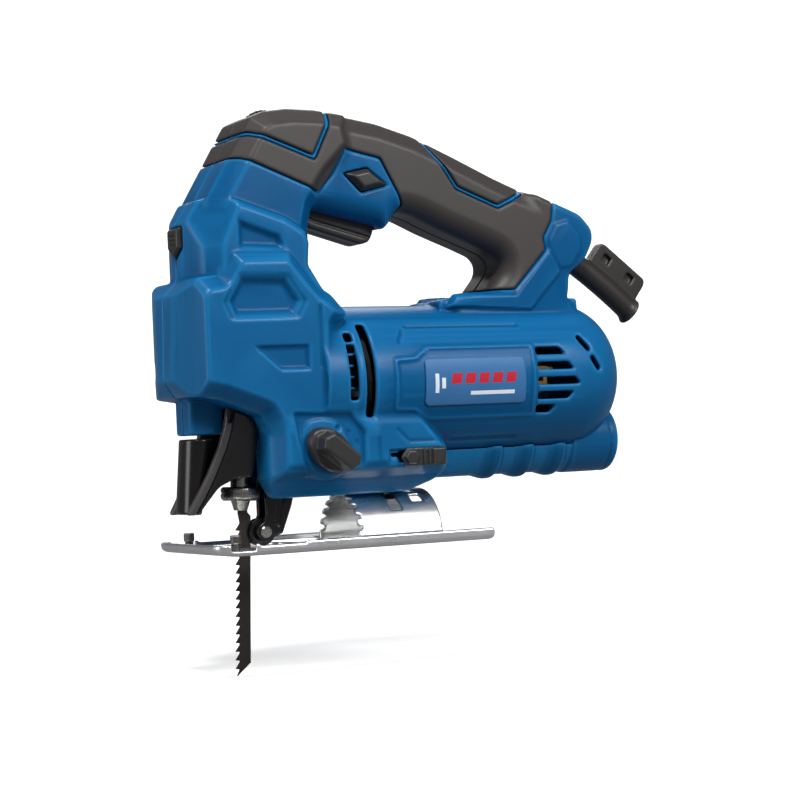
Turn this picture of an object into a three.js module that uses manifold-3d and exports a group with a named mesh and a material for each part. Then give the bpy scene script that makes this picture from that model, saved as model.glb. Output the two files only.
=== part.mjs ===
// A hand-held jigsaw with a D handle, in millimetres.
// Origin: middle of the sole's underside. +X runs to the rear, +Z up, -Y is the tool's left side.
import * as THREE from "three";
import { mergeVertices } from "three/addons/utils/BufferGeometryUtils.js";
import Module from "manifold-3d";

const wasm = await Module();
wasm.setup();

// ---- driving dimensions ----
const gap = 0.3; // clearance between pieces that touch
const running = 0.4; // clearance around pieces that move
const shellWall = 2.6;
const rubberSkin = 1.8;
const handleWall = 2.4; // plastic under the rubber

const soleLength = 142;
const soleWidth = 76;
const soleSheet = 2.2;
const flangeHeight = 5.6;
const flangeWall = 2;

const cradleRadius = 22.4;
const cradleSheet = 1.8;
const cradleAxisHeight = 3;
const cradleFront = 7;
const cradleRear = 51.5;
const tiltLimit = 45;

const motorAxisHeight = 77;
const barrelRadius = 36.5;
const barrelDomeStart = 128;
const barrelDomeLength = 31;

const tubeRadius = 16.5;
const tubeWall = 2.4;
const tubeAxisHeight = 45.3;
const tubeRear = 157;
const portLength = 27; // the round end of the tube, clear of the barrel

const noseHalfWidth = barrelRadius - 3;
const chestHalfWidth = 28.5;
const capHalfWidth = 24;
const gripHalfWidth = 20;
const footBottom = cradleAxisHeight + cradleRadius - 1.4; // the foot sits over the cradle's top
const footHalfWidth = 15.5;
const footRear = 55;

const plungerLean = 2.6; // degrees, tip forward
const plungerFootX = -43.83; // where the plunger's axis meets the sole plane
const plungerRadius = 4.75;
const strokeHalf = 9;
const restBelowMid = 1; // how far the plunger rests below the middle of its stroke

const bladeThickness = 1.3;
const bladeWidth = 7.3;
const bladeBack = 4.75; // back edge behind the plunger's axis
const bladeTip = -57;
const toothPitch = 4;

const pinionTeeth = 8;
const gearTeeth = 40;
const gearRoom = 5.6; // from the gear's pitch circle to the nose's wall
const gearModule = (noseHalfWidth - shellWall - gap - gearRoom) / (gearTeeth / 2);
const gearWidth = 8;
const gearFront = -21;

const shaftRadius = 4;
const coreFront = 48;
const coreRear = 88;
const statorRadius = barrelRadius - 8;
const coreRadius = statorRadius - 11.5;
const fanRadius = barrelRadius - 7.5;
const bearingRadius = 11;
const bearingWidth = 6;
const rearBearingFront = 118;

const rollerX = -33.5;
const rollerZ = 9;
const rollerPinRadius = 2;

const knobX = -12.5;
const knobZ = 46;
const knobRadius = 12;
const knobRest = -38; // degrees, where the lever points

const triggerHalfWidth = 7.5;
const triggerTravel = 4.5;
const blowerTravel = 5;
const dialRadius = 10;
const dialX = -23.5;
const dialZ = 196.4;
const dialHalfWidth = 4;

const screwPlaces = [
  [-44, 177],
  [-57, 146],
  [-67, 86],
  [60, 170],
  [113, 141],
  [141, 98],
  [10, 35],
];
const screwRadius = 1.8;
const screwHeadRadius = 3.6;
const bossRadius = 4.6;

// ---- helpers: geometry to solid, and solids to meshes ----
const rad = THREE.MathUtils.degToRad;

// A closed geometry as a solid, turned the right way round.
function solid(geometry) {
  const bare = geometry.index ? geometry.toNonIndexed() : geometry.clone();
  bare.deleteAttribute("normal");
  bare.deleteAttribute("uv");
  const merged = mergeVertices(bare, 1e-4);
  const triVerts = new Uint32Array(merged.index.array);
  return new wasm.Manifold(
    new wasm.Mesh({
      numProp: 3,
      vertProperties: merged.attributes.position.array,
      triVerts,
    }),
  );
}

function fuse(first, ...rest) {
  return rest.reduce((sum, next) => sum.add(next), first);
}

function cut(first, ...rest) {
  return rest.reduce((left, next) => left.subtract(next), first);
}

function shapeOf(points) {
  return new THREE.Shape(points.map(([x, y]) => new THREE.Vector2(x, y)));
}

// An outline extruded from low to high, its edges bevelled, all of it grown by grow (negative: shrunk).
// A shrunk body's bevels shrink with it, so that its outline never folds over itself.
function extruded(points, low, high, options = {}) {
  const { grow = 0 } = options;
  const steps = grow < 0 ? 1 : 2;
  const shrink = Math.min(grow, 0);
  const bevel = options.bevel ? Math.max(options.bevel + shrink, 0.5) : 0;
  const side = options.bevel ? Math.max((options.side ?? options.bevel) + shrink, 0.5) : 0;
  const near = low - grow;
  const depth = high - low + 2 * grow - 2 * bevel;
  const geometry = new THREE.ExtrudeGeometry(shapeOf(points), {
    depth,
    bevelEnabled: bevel > 0 || grow !== 0,
    bevelThickness: bevel,
    bevelSize: side,
    bevelOffset: grow - side,
    bevelSegments: bevel > 0 ? steps : 1,
    curveSegments: 8,
  });
  return geometry.translate(0, 0, near + bevel);
}

const alongX = new THREE.Matrix4().makeBasis(
  new THREE.Vector3(0, 1, 0),
  new THREE.Vector3(0, 0, 1),
  new THREE.Vector3(1, 0, 0),
);
const alongY = new THREE.Matrix4().makeBasis(
  new THREE.Vector3(1, 0, 0),
  new THREE.Vector3(0, 0, 1),
  new THREE.Vector3(0, -1, 0),
);

// Outline in (X, Z), extruded across the tool.
function prismY(points, low, high, options) {
  return solid(extruded(points, -high, -low, options).applyMatrix4(alongY));
}

// Outline in (Y, Z), extruded along the tool.
function prismX(points, low, high, options) {
  return solid(extruded(points, low, high, options).applyMatrix4(alongX));
}

// Outline in (X, Y), extruded upwards.
function prismZ(points, low, high, options) {
  return solid(extruded(points, low, high, options));
}

function box(x0, x1, y0, y1, z0, z1) {
  const geometry = new THREE.BoxGeometry(x1 - x0, y1 - y0, z1 - z0);
  return solid(geometry.translate((x0 + x1) / 2, (y0 + y1) / 2, (z0 + z1) / 2));
}

// A profile of [radius, height] pairs turned about +Z; profiles run upwards on the outside.
function turned(profile, segments = 16) {
  const points = profile.map(([r, h]) => new THREE.Vector2(r, h));
  return new THREE.LatheGeometry(points, segments).rotateX(Math.PI / 2);
}

function rod(radius, low, high, segments = 16) {
  return turned([[0, low], [radius, low], [radius, high], [0, high]], segments);
}

function ring(inner, outer, low, high, segments = 16) {
  const profile = [[inner, low], [outer, low], [outer, high], [inner, high], [inner, low]];
  return turned(profile, segments);
}

// Turned about +Z, then laid along X or Y through a point.
function ontoX(geometry, y = 0, z = 0) {
  return solid(geometry.rotateY(Math.PI / 2).translate(0, y, z));
}

function ontoY(geometry, x = 0, z = 0) {
  return solid(geometry.rotateX(-Math.PI / 2).translate(x, 0, z));
}

// From the plunger's own frame, its axis along Z, to the leaning frame in the tool.
function lean(geometry) {
  return solid(geometry.rotateY(rad(plungerLean)).translate(plungerFootX, 0, 0));
}

function leanX(z) {
  return plungerFootX + z * Math.tan(rad(plungerLean));
}

function mirrored(piece) {
  return piece.mirror([0, 1, 0]);
}

function circle(x, y, radius, count = 16) {
  return Array.from({ length: count }, (_, i) => {
    const angle = (2 * Math.PI * i) / count;
    return [x + radius * Math.cos(angle), y + radius * Math.sin(angle)];
  });
}

function arc(x, y, radius, from, to, count) {
  return Array.from({ length: count + 1 }, (_, i) => {
    const angle = rad(from + ((to - from) * i) / count);
    return [x + radius * Math.cos(angle), y + radius * Math.sin(angle)];
  });
}

// A gear's outline: straight-flanked teeth, with a tooth pointing at the angle start.
function gearOutline(teeth, start) {
  const pitchRadius = (gearModule * teeth) / 2;
  const tip = pitchRadius + 0.8 * gearModule;
  const root = pitchRadius - 1.1 * gearModule;
  const pitchAngle = (2 * Math.PI) / teeth;
  const flank = [[-0.33, root], [-0.13, tip], [0.13, tip], [0.33, root]];
  const points = [];
  for (let i = 0; i < teeth; i += 1) {
    for (const [turn, radius] of flank) {
      const angle = rad(start) + (i + turn) * pitchAngle;
      points.push([radius * Math.cos(angle), radius * Math.sin(angle)]);
    }
  }
  return points;
}

function moved(points, dx, dy) {
  return points.map(([x, y]) => [x + dx, y + dy]);
}

function turnedPoints(points, degrees, dx, dy) {
  const c = Math.cos(rad(degrees));
  const s = Math.sin(rad(degrees));
  return points.map(([x, y]) => [x * c - y * s + dx, x * s + y * c + dy]);
}

const tool = new THREE.Group();
tool.name = "jigsaw";

const finishes = {
  blue: { color: 0x0b4f9e, roughness: 0.45, metalness: 0 },
  rubber: { color: 0x2b2624, roughness: 0.8, metalness: 0 },
  black: { color: 0x15151a, roughness: 0.35, metalness: 0 },
  label: { color: 0x3c70b4, roughness: 0.5, metalness: 0 },
  bright: { color: 0xc9ccd0, roughness: 0.3, metalness: 1 },
  steel: { color: 0x77746f, roughness: 0.4, metalness: 1 },
  dark: { color: 0x34302d, roughness: 0.5, metalness: 0.8 },
  cast: { color: 0xa6a8aa, roughness: 0.5, metalness: 0.9 },
  brass: { color: 0xb08d4c, roughness: 0.4, metalness: 1 },
  copper: { color: 0xa85a34, roughness: 0.45, metalness: 1 },
  carbon: { color: 0x26262a, roughness: 0.7, metalness: 0.1 },
  lens: { color: 0xb02a2a, roughness: 0.1, metalness: 0 },
};

// Adds a solid to the tool as a named mesh.
function add(name, piece, finish) {
  const made = piece.getMesh();
  const geometry = new THREE.BufferGeometry();
  geometry.setAttribute("position", new THREE.BufferAttribute(made.vertProperties, 3));
  geometry.setIndex(new THREE.BufferAttribute(made.triVerts, 1));
  geometry.computeVertexNormals();
  const mesh = new THREE.Mesh(geometry, new THREE.MeshStandardMaterial(finishes[finish]));
  mesh.name = name;
  tool.add(mesh);
}

// ---- outer body: every part of the two housings, all grown or shrunk by the same amount ----
const barrelTop = motorAxisHeight + barrelRadius;

const lowerNoseOutline = [
  [-77, 119], [-78.2, 80], [-73.5, 72.5], [-62, 70.5], [-42.2, 62.9], [-38.1, 56],
  [-28, 46], [8, 46], [18, 66], [18, barrelTop - 0.6], [4, 120], [4, 125], [-2, 133], [-60, 133], [-70, 126],
];
const chestOutline = [
  [-70, 112], [-69.6, 152], [-62.7, 162.6], [-57.3, 167.1], [-50, 178],
  [-12, 176], [-7, 154], [-3.5, 145.3], [-3.3, 134], [4, 125], [4, 112],
];
const capOutline = [
  [-57.3, 167.1], [-44.6, 188.3], [-37.2, 200.5], [-30, 203.6], [-17.9, 205.2], [-3.5, 204.9], [12, 202.9],
  [16, 186], [2, 172], [-7.4, 158.8], [-12, 150], [-50, 150],
];
const gripOutline = [
  [-22, 204], [-3.5, 204.9], [12.2, 202.9], [29.7, 200], [49.5, 194.2], [71.1, 184.9], [93.2, 174.9],
  [115.7, 165.7], [138.6, 156.8], [145.4, 149.5], [145.8, 143.5], [141, 134.5], [131, 127], [130, 114],
  [136, 106], [136, 82], [60, 82], [61.3, 113.3], [66, 116.3], [84.8, 118.4], [93.4, 128.4], [94.3, 133.6],
  [91, 137.6], [80.4, 142], [61.9, 149.2], [47.3, 155.8], [39, 157.6], [31.7, 148.6], [26.6, 151.5],
  [-7.4, 158.8], [-14, 162], [-22, 172],
];
const footOutline = [
  [-38.1, 68], [-38.1, 33], [-32.5, footBottom], [36, footBottom], [49, 29.5], [footRear, 42], [footRear, 72],
];
const footSection = [
  [-footHalfWidth, footBottom], [footHalfWidth, footBottom], [24, 32], [noseHalfWidth - 2, 36.5],
  [noseHalfWidth, 40], [noseHalfWidth, 76], [-noseHalfWidth, 76], [-noseHalfWidth, 40],
  [2 - noseHalfWidth, 36.5], [-24, 32],
];
const laserBossOutline = [[-70, 78], [-70, 55], [-53, 55], [-53, 78]];
const laserBossHalfWidth = 9;

function barrelBody(grow) {
  const radius = barrelRadius + grow;
  const length = barrelDomeLength + grow;
  const steps = 5;
  const profile = [[0, -12], [radius, -12], [radius, barrelDomeStart]];
  for (let i = 1; i <= steps; i += 1) {
    const angle = (Math.PI / 2) * (i / steps);
    const along = barrelDomeStart + length * Math.sin(angle) ** 0.9;
    profile.push([i === steps ? 0 : radius * Math.cos(angle) ** 0.9, along]);
  }
  return ontoX(turned(profile, 24), 0, motorAxisHeight);
}

function handleBody(grow) {
  const cap = prismY(capOutline, -capHalfWidth, capHalfWidth, { bevel: 7, side: 5, grow });
  const grip = prismY(gripOutline, -gripHalfWidth, gripHalfWidth, { bevel: 7, side: 3.5, grow });
  return fuse(cap, grip);
}

function frontBody(grow) {
  const nose = prismY(lowerNoseOutline, -noseHalfWidth, noseHalfWidth, { bevel: 8, side: 5, grow });
  const chest = prismY(chestOutline, -chestHalfWidth, chestHalfWidth, { bevel: 7, side: 4, grow });
  const footSide = prismY(footOutline, -60, 60, { grow });
  const foot = prismX(footSection, -60, 80, { grow }).intersect(footSide);
  const boss = prismY(laserBossOutline, -laserBossHalfWidth, laserBossHalfWidth, { bevel: 1, grow });
  return fuse(nose, chest, foot, boss);
}

function outerBody(grow) {
  return fuse(frontBody(grow), barrelBody(grow), handleBody(grow));
}

// The rubber covers the front cap and the grip, and leaves the switch window and the rear end blue.
const rubberOutline = [
  [-60, 181.4], [-44.5, 181], [-8.5, 166.9], [-5, 165.8], [2.2, 174.4], [9.4, 186.5], [28, 182.4],
  [39.9, 160.4], [36, 156], [42, 150], [70, 136], [84, 130], [78, 119.6], [98.5, 119.6], [117.1, 138.8],
  [116.2, 145], [121, 153], [124, 172], [60, 215], [-60, 215],
];
const outer = outerBody(0);
const rubberZone = prismY(rubberOutline, -60, 60);
const rubberZoneWide = prismY(rubberOutline, -60, 60, { grow: gap });
const handleSkin = cut(handleBody(0), handleBody(-rubberSkin));
const handleRecess = cut(handleBody(1), handleBody(-rubberSkin - gap));
const cavity = fuse(
  frontBody(-shellWall),
  barrelBody(-shellWall),
  handleBody(-rubberSkin - gap - handleWall),
);

// ---- openings in the housings ----
const triggerLineLow = [-7.4, 158.8];
const triggerLineHigh = [26.6, 151.5];
const triggerAngle = Math.atan2(
  triggerLineHigh[1] - triggerLineLow[1],
  triggerLineHigh[0] - triggerLineLow[0],
);
const press = [-Math.sin(triggerAngle), Math.cos(triggerAngle)];
const triggerOutline = [
  [-8.2, 152.8], [-4.5, 150.3], [22.3, 142.6], [27, 144], [29.4, 149], [29.2, 153.4], [-6.6, 161.1],
];
const triggerRoom = triggerTravel + 3.5;
const triggerSweep = [
  ...triggerOutline.slice(0, -2),
  ...triggerOutline.slice(-2).map(([x, z]) => [x + triggerRoom * press[0], z + triggerRoom * press[1]]),
];
const lockCentre = [19.6, 171.7];
const lockDiamond = [[-11, 3], [1, 5.6], [11.2, -2], [-2.2, -5.4]];
const laserShield = [[-6.6, 7], [6.6, 7], [6.6, -2.5], [0, -7], [-6.6, -2.5]];
const laserButtonHeight = 143.5;
const noseFrontX = -69.8;
const sliderOutline = [[24.2, 40.7], [27.4, 44.9], [48.4, 44.9], [47.6, 36.4], [27, 36.4]];
const sliderSlot = [[24.2 - blowerTravel, 38], [40, 38], [40, 43], [24.2 - blowerTravel, 43]];
const rearVents = [
  [100, 114.5, 88.6],
  [100, 118.5, 81.4],
  [100, 122, 74.1],
  [100, 117.5, 67.5],
  [100, 108, 61],
];
const ventHalfHeight = 1.7;
const frontVents = [[-0.2, 3.6, 69, 98], [8, 12, 60, 103]];
const sleeveStart = [141, 136];
const sleeveEnd = [177.8, 108.6];
const sleeveRadius = 5.6;
const sleeveBore = 3.6;
const sleeveTurn = Math.atan2(sleeveEnd[1] - sleeveStart[1], sleeveEnd[0] - sleeveStart[0]);
const sleeveLength = Math.hypot(sleeveEnd[0] - sleeveStart[0], sleeveEnd[1] - sleeveStart[1]);
const sleevePath = new THREE.QuadraticBezierCurve3(
  new THREE.Vector3(-9.4, 0, 0),
  new THREE.Vector3(sleeveLength / 2, 0, 2.6),
  new THREE.Vector3(sleeveLength + 0.2, 0, 0),
);

// A round bar along the sleeve's bent axis, in the sleeve's own frame.
function alongSleeve(radius) {
  return solid(
    new THREE.ExtrudeGeometry(shapeOf(circle(0, 0, radius, 12)), {
      steps: 4,
      extrudePath: sleevePath,
      bevelEnabled: false,
    }),
  );
}

function placedSleeve(piece) {
  const degrees = THREE.MathUtils.radToDeg(sleeveTurn);
  return piece.rotate([0, -degrees, 0]).translate([sleeveStart[0], 0, sleeveStart[1]]);
}

function onBothSides(piece) {
  return fuse(piece, mirrored(piece));
}

const ventCuts = fuse(
  ...rearVents.map(([x0, x1, z]) =>
    onBothSides(box(x0, x1, 18, 45, z - ventHalfHeight, z + ventHalfHeight)),
  ),
  ...frontVents.map(([x0, x1, z0, z1]) => onBothSides(box(x0, x1, 18, 45, z0, z1))),
);
const forkSlotHalfWidth = 8.8;
const forkSlot = box(-45, -12, -forkSlotHalfWidth, forkSlotHalfWidth, 18, 54);
const plungerHole = lean(rod(plungerRadius + 2, 40, 72));
const cradleRecess = ontoX(
  rod(cradleRadius + running, cradleFront - 2, 80, 40),
  0,
  cradleAxisHeight,
);
const triggerSlot = prismY(triggerSweep, -triggerHalfWidth, triggerHalfWidth, { grow: running });
const lockHole = prismY(moved(lockDiamond, ...lockCentre), -40, -10, { grow: running });
const dialSlot = prismY(circle(dialX, dialZ, dialRadius + 1, 24), -dialHalfWidth - 1, dialHalfWidth + 1);
const laserHole = prismX(moved(laserShield, 0, laserButtonHeight), -80, -60, { grow: running });
const sliderHole = prismY(sliderSlot, -45, -20);
const knobHole = ontoY(rod(4, -50, -10), knobX, knobZ);
const sleeveHole = placedSleeve(alongSleeve(sleeveRadius + gap));
const portFront = tubeRear - portLength;
const portHole = ontoX(rod(tubeRadius + gap, portFront, tubeRear + 5, 24), 0, tubeAxisHeight);
const laserShaftHole = solid(rod(2, 50, 60).translate(-62, 0, 0));

// ---- what holds the pieces inside: bearing seat, stator rings, screw bosses ----
// A rib's bore has few sides, so its radius is measured to the middle of a side.
function motorRib(bore, from, to) {
  const sides = 20;
  const inner = bore / Math.cos(Math.PI / sides);
  return ontoX(ring(inner, barrelRadius - 1, from, to, sides), 0, motorAxisHeight);
}

const ribs = fuse(
  motorRib(bearingRadius + gap, rearBearingFront + 0.5, rearBearingFront + bearingWidth - 0.5),
  motorRib(statorRadius + gap, coreFront + 2, coreFront + 5),
  motorRib(statorRadius + gap, coreRear - 5, coreRear - 2),
);
const bosses = screwPlaces.map(([x, z]) => ontoY(rod(bossRadius, -45, 45, 8), x, z));
const clampX = (cradleFront + cradleRear) / 2;
const clampBoss = solid(rod(6, footBottom, 46, 12).translate(clampX, 0, 0));
const screwSeat = 12; // how far from the middle plane each screw's head seats
const screwTip = -10;
const screwHoles = screwPlaces.map(([x, z]) =>
  ontoY(
    turned(
      [
        [0, screwTip - 1],
        [screwRadius + gap, screwTip - 1],
        [screwRadius + gap, screwSeat],
        [screwHeadRadius + gap, screwSeat],
        [screwHeadRadius + gap, 50],
        [0, 50],
      ],
      8,
    ),
    x,
    z,
  ),
);

const rubberCutFromShell = rubberZoneWide.intersect(handleRecess);
const clampScrewRadius = 2.5;
const clampScrewTop = 42;
const clampHole = solid(rod(clampScrewRadius + gap, 10, clampScrewTop + 1).translate(clampX, 0, 0));

const shell = cut(outer, cavity);
const inside = fuse(ribs, ...bosses, clampBoss).intersect(outerBody(-1));
const openHousing = cut(
  fuse(shell, inside),
  rubberCutFromShell,
  ventCuts,
  forkSlot,
  plungerHole,
  cradleRecess,
  triggerSlot,
  lockHole,
  dialSlot,
  laserHole,
  sliderHole,
  knobHole,
  sleeveHole,
  portHole,
  laserShaftHole,
  clampHole,
  ...screwHoles,
);

// ---- motor and gear train, modelled with the joints' rest angles in mesh ----
const centreDistance = (gearModule * (pinionTeeth + gearTeeth)) / 2;
const gearHeight = motorAxisHeight + centreDistance;
const yokeHeight = gearHeight - restBelowMid;
const crankAcross = Math.sqrt(strokeHalf ** 2 - restBelowMid ** 2);
const pinionStart = 90;
const gearStart = -90 + 180 / gearTeeth;
const shaftRear = 127;
const caseFront = -11;
const caseRear = -7;
const shaftThin = 3;

const armatureShaft = fuse(
  ontoX(
    turned([
      [0, gearFront - 1],
      [shaftThin, gearFront - 1],
      [shaftThin, caseFront],
      [shaftRadius, caseFront],
      [shaftRadius, shaftRear],
      [0, shaftRear],
    ]),
    0,
    motorAxisHeight,
  ),
  prismX(moved(gearOutline(pinionTeeth, pinionStart), 0, motorAxisHeight), gearFront, gearFront + gearWidth),
);

const crankPinRadius = 3;
const crankPinFront = leanX(yokeHeight) + 6.6;
const driveGear = cut(
  fuse(
    prismX(moved(gearOutline(gearTeeth, gearStart), 0, gearHeight), gearFront, gearFront + gearWidth),
    ontoX(rod(crankPinRadius, crankPinFront, gearFront + 1), crankAcross, yokeHeight),
  ),
  ontoX(rod(5 + running, gearFront - 5, gearFront + gearWidth + 5), 0, gearHeight),
);
const gearShaft = ontoX(
  turned([
    [0, gearFront - 1.5],
    [5, gearFront - 1.5],
    [5, gearFront + gearWidth + 0.6],
    [7, gearFront + gearWidth + 0.6],
    [7, caseFront - gap],
    [0, caseFront - gap],
  ]),
  0,
  gearHeight,
);

function armatureRing(outerRadius, from, to, segments = 14) {
  return ontoX(ring(shaftRadius + gap, outerRadius, from, to, segments), 0, motorAxisHeight);
}

const armatureCore = armatureRing(coreRadius, coreFront, coreRear);
const windingFront = armatureRing(coreRadius - 2, coreFront - 8, coreFront - gap);
const windingRear = armatureRing(coreRadius - 2, coreRear + gap, coreRear + 8);
const commutatorFront = coreRear + 10;
const commutatorRear = commutatorFront + 13;
const commutator = armatureRing(11, commutatorFront, commutatorRear);
const fanBladeCount = 7;
const fanFront = 2;
const fanRear = 14;
const fanBlades = Array.from({ length: fanBladeCount }, (_, i) =>
  solid(
    new THREE.BoxGeometry(fanRear - fanFront - 1.5, 1.6, fanRadius - 9)
      .translate((fanRear + fanFront + 1.5) / 2 - 1.5, 0, (fanRadius + 9) / 2)
      .rotateX((2 * Math.PI * i) / fanBladeCount)
      .translate(0, 0, motorAxisHeight),
  ),
);
const fan = fuse(
  armatureRing(fanRadius, fanRear - 2, fanRear, 20),
  armatureRing(10, fanFront, fanRear - 1),
  ...fanBlades,
);
const rearBearing = armatureRing(bearingRadius, rearBearingFront, rearBearingFront + bearingWidth);
const frontBearing = armatureRing(bearingRadius, caseFront + gap, caseFront + gap + bearingWidth);

const statorCore = ontoX(ring(coreRadius + 0.8, statorRadius, coreFront, coreRear, 24), 0, motorAxisHeight);
const coilFront = ontoX(
  ring(coreRadius + 2, statorRadius - 2, coreFront - 9, coreFront - gap, 24),
  0,
  motorAxisHeight,
);
const coilRear = ontoX(
  ring(coreRadius + 2, statorRadius - 2, coreRear + gap, coreRear + 7, 24),
  0,
  motorAxisHeight,
);
const brushX = (commutatorFront + commutatorRear) / 2;

function brushHolder(side) {
  const shellBox = box(brushX - 5.5, brushX + 5.5, 13, 27, motorAxisHeight - 4.5, motorAxisHeight + 4.5);
  const bore = box(brushX - 3.5, brushX + 3.5, 0, 40, motorAxisHeight - 2.8, motorAxisHeight + 2.8);
  const holder = cut(shellBox, bore);
  return side < 0 ? mirrored(holder) : holder;
}

function carbonBrush(side) {
  const brush = box(brushX - 3.2, brushX + 3.2, 11.4, 24, motorAxisHeight - 2.5, motorAxisHeight + 2.5);
  return side < 0 ? mirrored(brush) : brush;
}

// ---- gear case: a wall behind the gear, and two arms that hold the plunger's bushes ----
const bushOuter = plungerRadius + 3;
const upperArm = [142, 151];
const lowerArm = [71.5, 79.5];
const gearCase = cut(
  fuse(
    prismX([[-24, 62], [24, 62], [24, 118], [12, 128], [-12, 128], [-24, 118]], caseFront, caseRear),
    box(caseFront, caseRear, -10, 10, 120, upperArm[1]),
    box(leanX(upperArm[0]) - 11, caseRear, -11, 11, ...upperArm),
    prismY(
      [
        [caseRear, 61.5], [caseRear, 68.5], [-27, 68.5], [-29, lowerArm[1]], [leanX(75) - 11, lowerArm[1]],
        [leanX(75) - 11, lowerArm[0]], [-33, lowerArm[0]], [-31, 61.5],
      ],
      -11,
      11,
    ),
    ontoX(rod(bearingRadius + 2.5, caseFront, caseFront + bearingWidth + 1), 0, motorAxisHeight),
  ),
  ontoX(rod(bearingRadius + gap, caseFront, 10, 32), 0, motorAxisHeight),
  ontoX(rod(7, -30, 10), 0, motorAxisHeight),
  lean(rod(bushOuter + gap, 60, 200)),
).intersect(fuse(frontBody(-shellWall - gap), barrelBody(-shellWall - gap)));

function bush(low, high) {
  return lean(ring(plungerRadius + running, bushOuter, low + 0.5, high - 0.5));
}

// ---- plunger, blade and clamp collar, on the leaning axis ----
const plungerBottom = 22.5;
const plungerTop = 164;
const collarLow = 24;
const collarHigh = 30.4;
const collarRadius = 9.3;
const yokeHalf = [5.5, 15.5, 6.2];
const yokeSlotHalfLength = strokeHalf + crankPinRadius + 1;
const tangDepth = 9;

const yoke = cut(
  solid(new THREE.BoxGeometry(2 * yokeHalf[0], 2 * yokeHalf[1], 2 * yokeHalf[2])),
  solid(
    new THREE.BoxGeometry(4, 2 * yokeSlotHalfLength, 2 * (crankPinRadius + running))
      .translate(yokeHalf[0], 0, 0),
  ),
)
  .rotate([0, plungerLean, 0])
  .translate([leanX(yokeHeight), 0, yokeHeight]);
const plungerRod = lean(
  turned([
    [0, plungerBottom - 3],
    [plungerRadius - 1.6, plungerBottom - 3],
    [plungerRadius - 0.4, plungerBottom + 1],
    [plungerRadius, plungerBottom + 2],
    [plungerRadius, plungerTop - 1],
    [plungerRadius - 1, plungerTop],
    [0, plungerTop],
  ]),
);
const tangSlot = lean(
  new THREE.BoxGeometry(6 + 2 * gap, bladeThickness + 2 * gap, tangDepth + 6)
    .translate(bladeBack - bladeWidth / 2 - 1, 0, plungerBottom + (tangDepth - 6) / 2),
);
const plunger = cut(fuse(plungerRod, yoke), tangSlot);

// The blade's outline: straight back, raked tip, then teeth down the front edge.
function bladeOutline() {
  const front = bladeBack - bladeWidth;
  const gullet = 2.1;
  const points = [
    [bladeBack - 6.6 + 0.4, plungerBottom + tangDepth - 1],
    [front + 1.2, 18],
    [front + gullet, 14],
  ];
  const teeth = Math.floor((14 - bladeTip - 3) / toothPitch);
  for (let i = 0; i < teeth; i += 1) {
    const top = 14 - i * toothPitch;
    points.push([front + gullet, top - 0.6]);
    points.push([front, top - toothPitch + 0.2]);
    points.push([front + gullet, top - toothPitch]);
  }
  points.push([front + 0.8, bladeTip]);
  points.push([bladeBack, bladeTip + 6]);
  points.push([bladeBack, 17]);
  points.push([bladeBack - 1.6, 18.6]);
  points.push([bladeBack - 1.6, plungerBottom + tangDepth - 1]);
  return points.reverse();
}

const blade = lean(
  extruded(bladeOutline(), -bladeThickness / 2, bladeThickness / 2).applyMatrix4(alongY),
);
const collar = lean(
  turned([
    [plungerRadius + running, collarLow],
    [collarRadius - 1.2, collarLow],
    [collarRadius, collarLow + 1.2],
    [collarRadius, collarHigh - 1],
    [collarRadius - 0.8, collarHigh],
    [plungerRadius + running, collarHigh],
    [plungerRadius + running, collarLow],
  ], 28),
);

// ---- pendulum fork with its grooved roller ----
const forkArm = [
  ...arc(rollerX, rollerZ, 4.2, 110, 300, 8), [-24.6, 8], [-19.6, 20.5], [-17, 30], [-17, 44],
  [-20, 47], [-24, 47], [-27, 44], [-32.4, 34], [-32.4, 16.4], [-33.4, 14.4],
];
const forkPivot = [-22, 42];
const forkInner = 3.5;
const forkOuter = 6.5;
const forkArms = onBothSides(prismY(forkArm, forkInner, forkOuter));
const forkBridge = prismY([[-29, 24], [-21, 24], [-19, 40], [-27, 40]], -forkInner - 0.5, forkInner + 0.5);
const forkBore = ontoY(rod(rollerPinRadius + gap, -20, 20, 16), rollerX, rollerZ);
const pivotBore = ontoY(rod(2.5 + gap, -20, 20, 16), ...forkPivot);
const pendulumFork = cut(fuse(forkArms, forkBridge), forkBore, pivotBore);
const rollerPin = ontoY(
  turned([
    [0, -8],
    [2.8, -8],
    [2.8, -forkOuter - gap],
    [rollerPinRadius, -forkOuter - gap],
    [rollerPinRadius, forkOuter + 0.6],
    [0, forkOuter + 0.6],
  ], 20),
  rollerX,
  rollerZ,
);
const bladeBackX = leanX(rollerZ) + bladeBack;
const grooveRadius = rollerX - bladeBackX - gap;
const roller = ontoY(
  turned([
    [rollerPinRadius + gap, -forkInner + running],
    [grooveRadius + 1.6, -forkInner + running],
    [grooveRadius + 1.6, -bladeThickness / 2 - running],
    [grooveRadius, -bladeThickness / 2 - running],
    [grooveRadius, bladeThickness / 2 + running],
    [grooveRadius + 1.6, bladeThickness / 2 + running],
    [grooveRadius + 1.6, forkInner - running],
    [rollerPinRadius + gap, forkInner - running],
    [rollerPinRadius + gap, -forkInner + running],
  ], 24),
  rollerX,
  rollerZ,
);
const forkPin = ontoY(rod(2.5, -forkSlotHalfWidth - 4, forkSlotHalfWidth + 4, 16), ...forkPivot);

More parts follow.
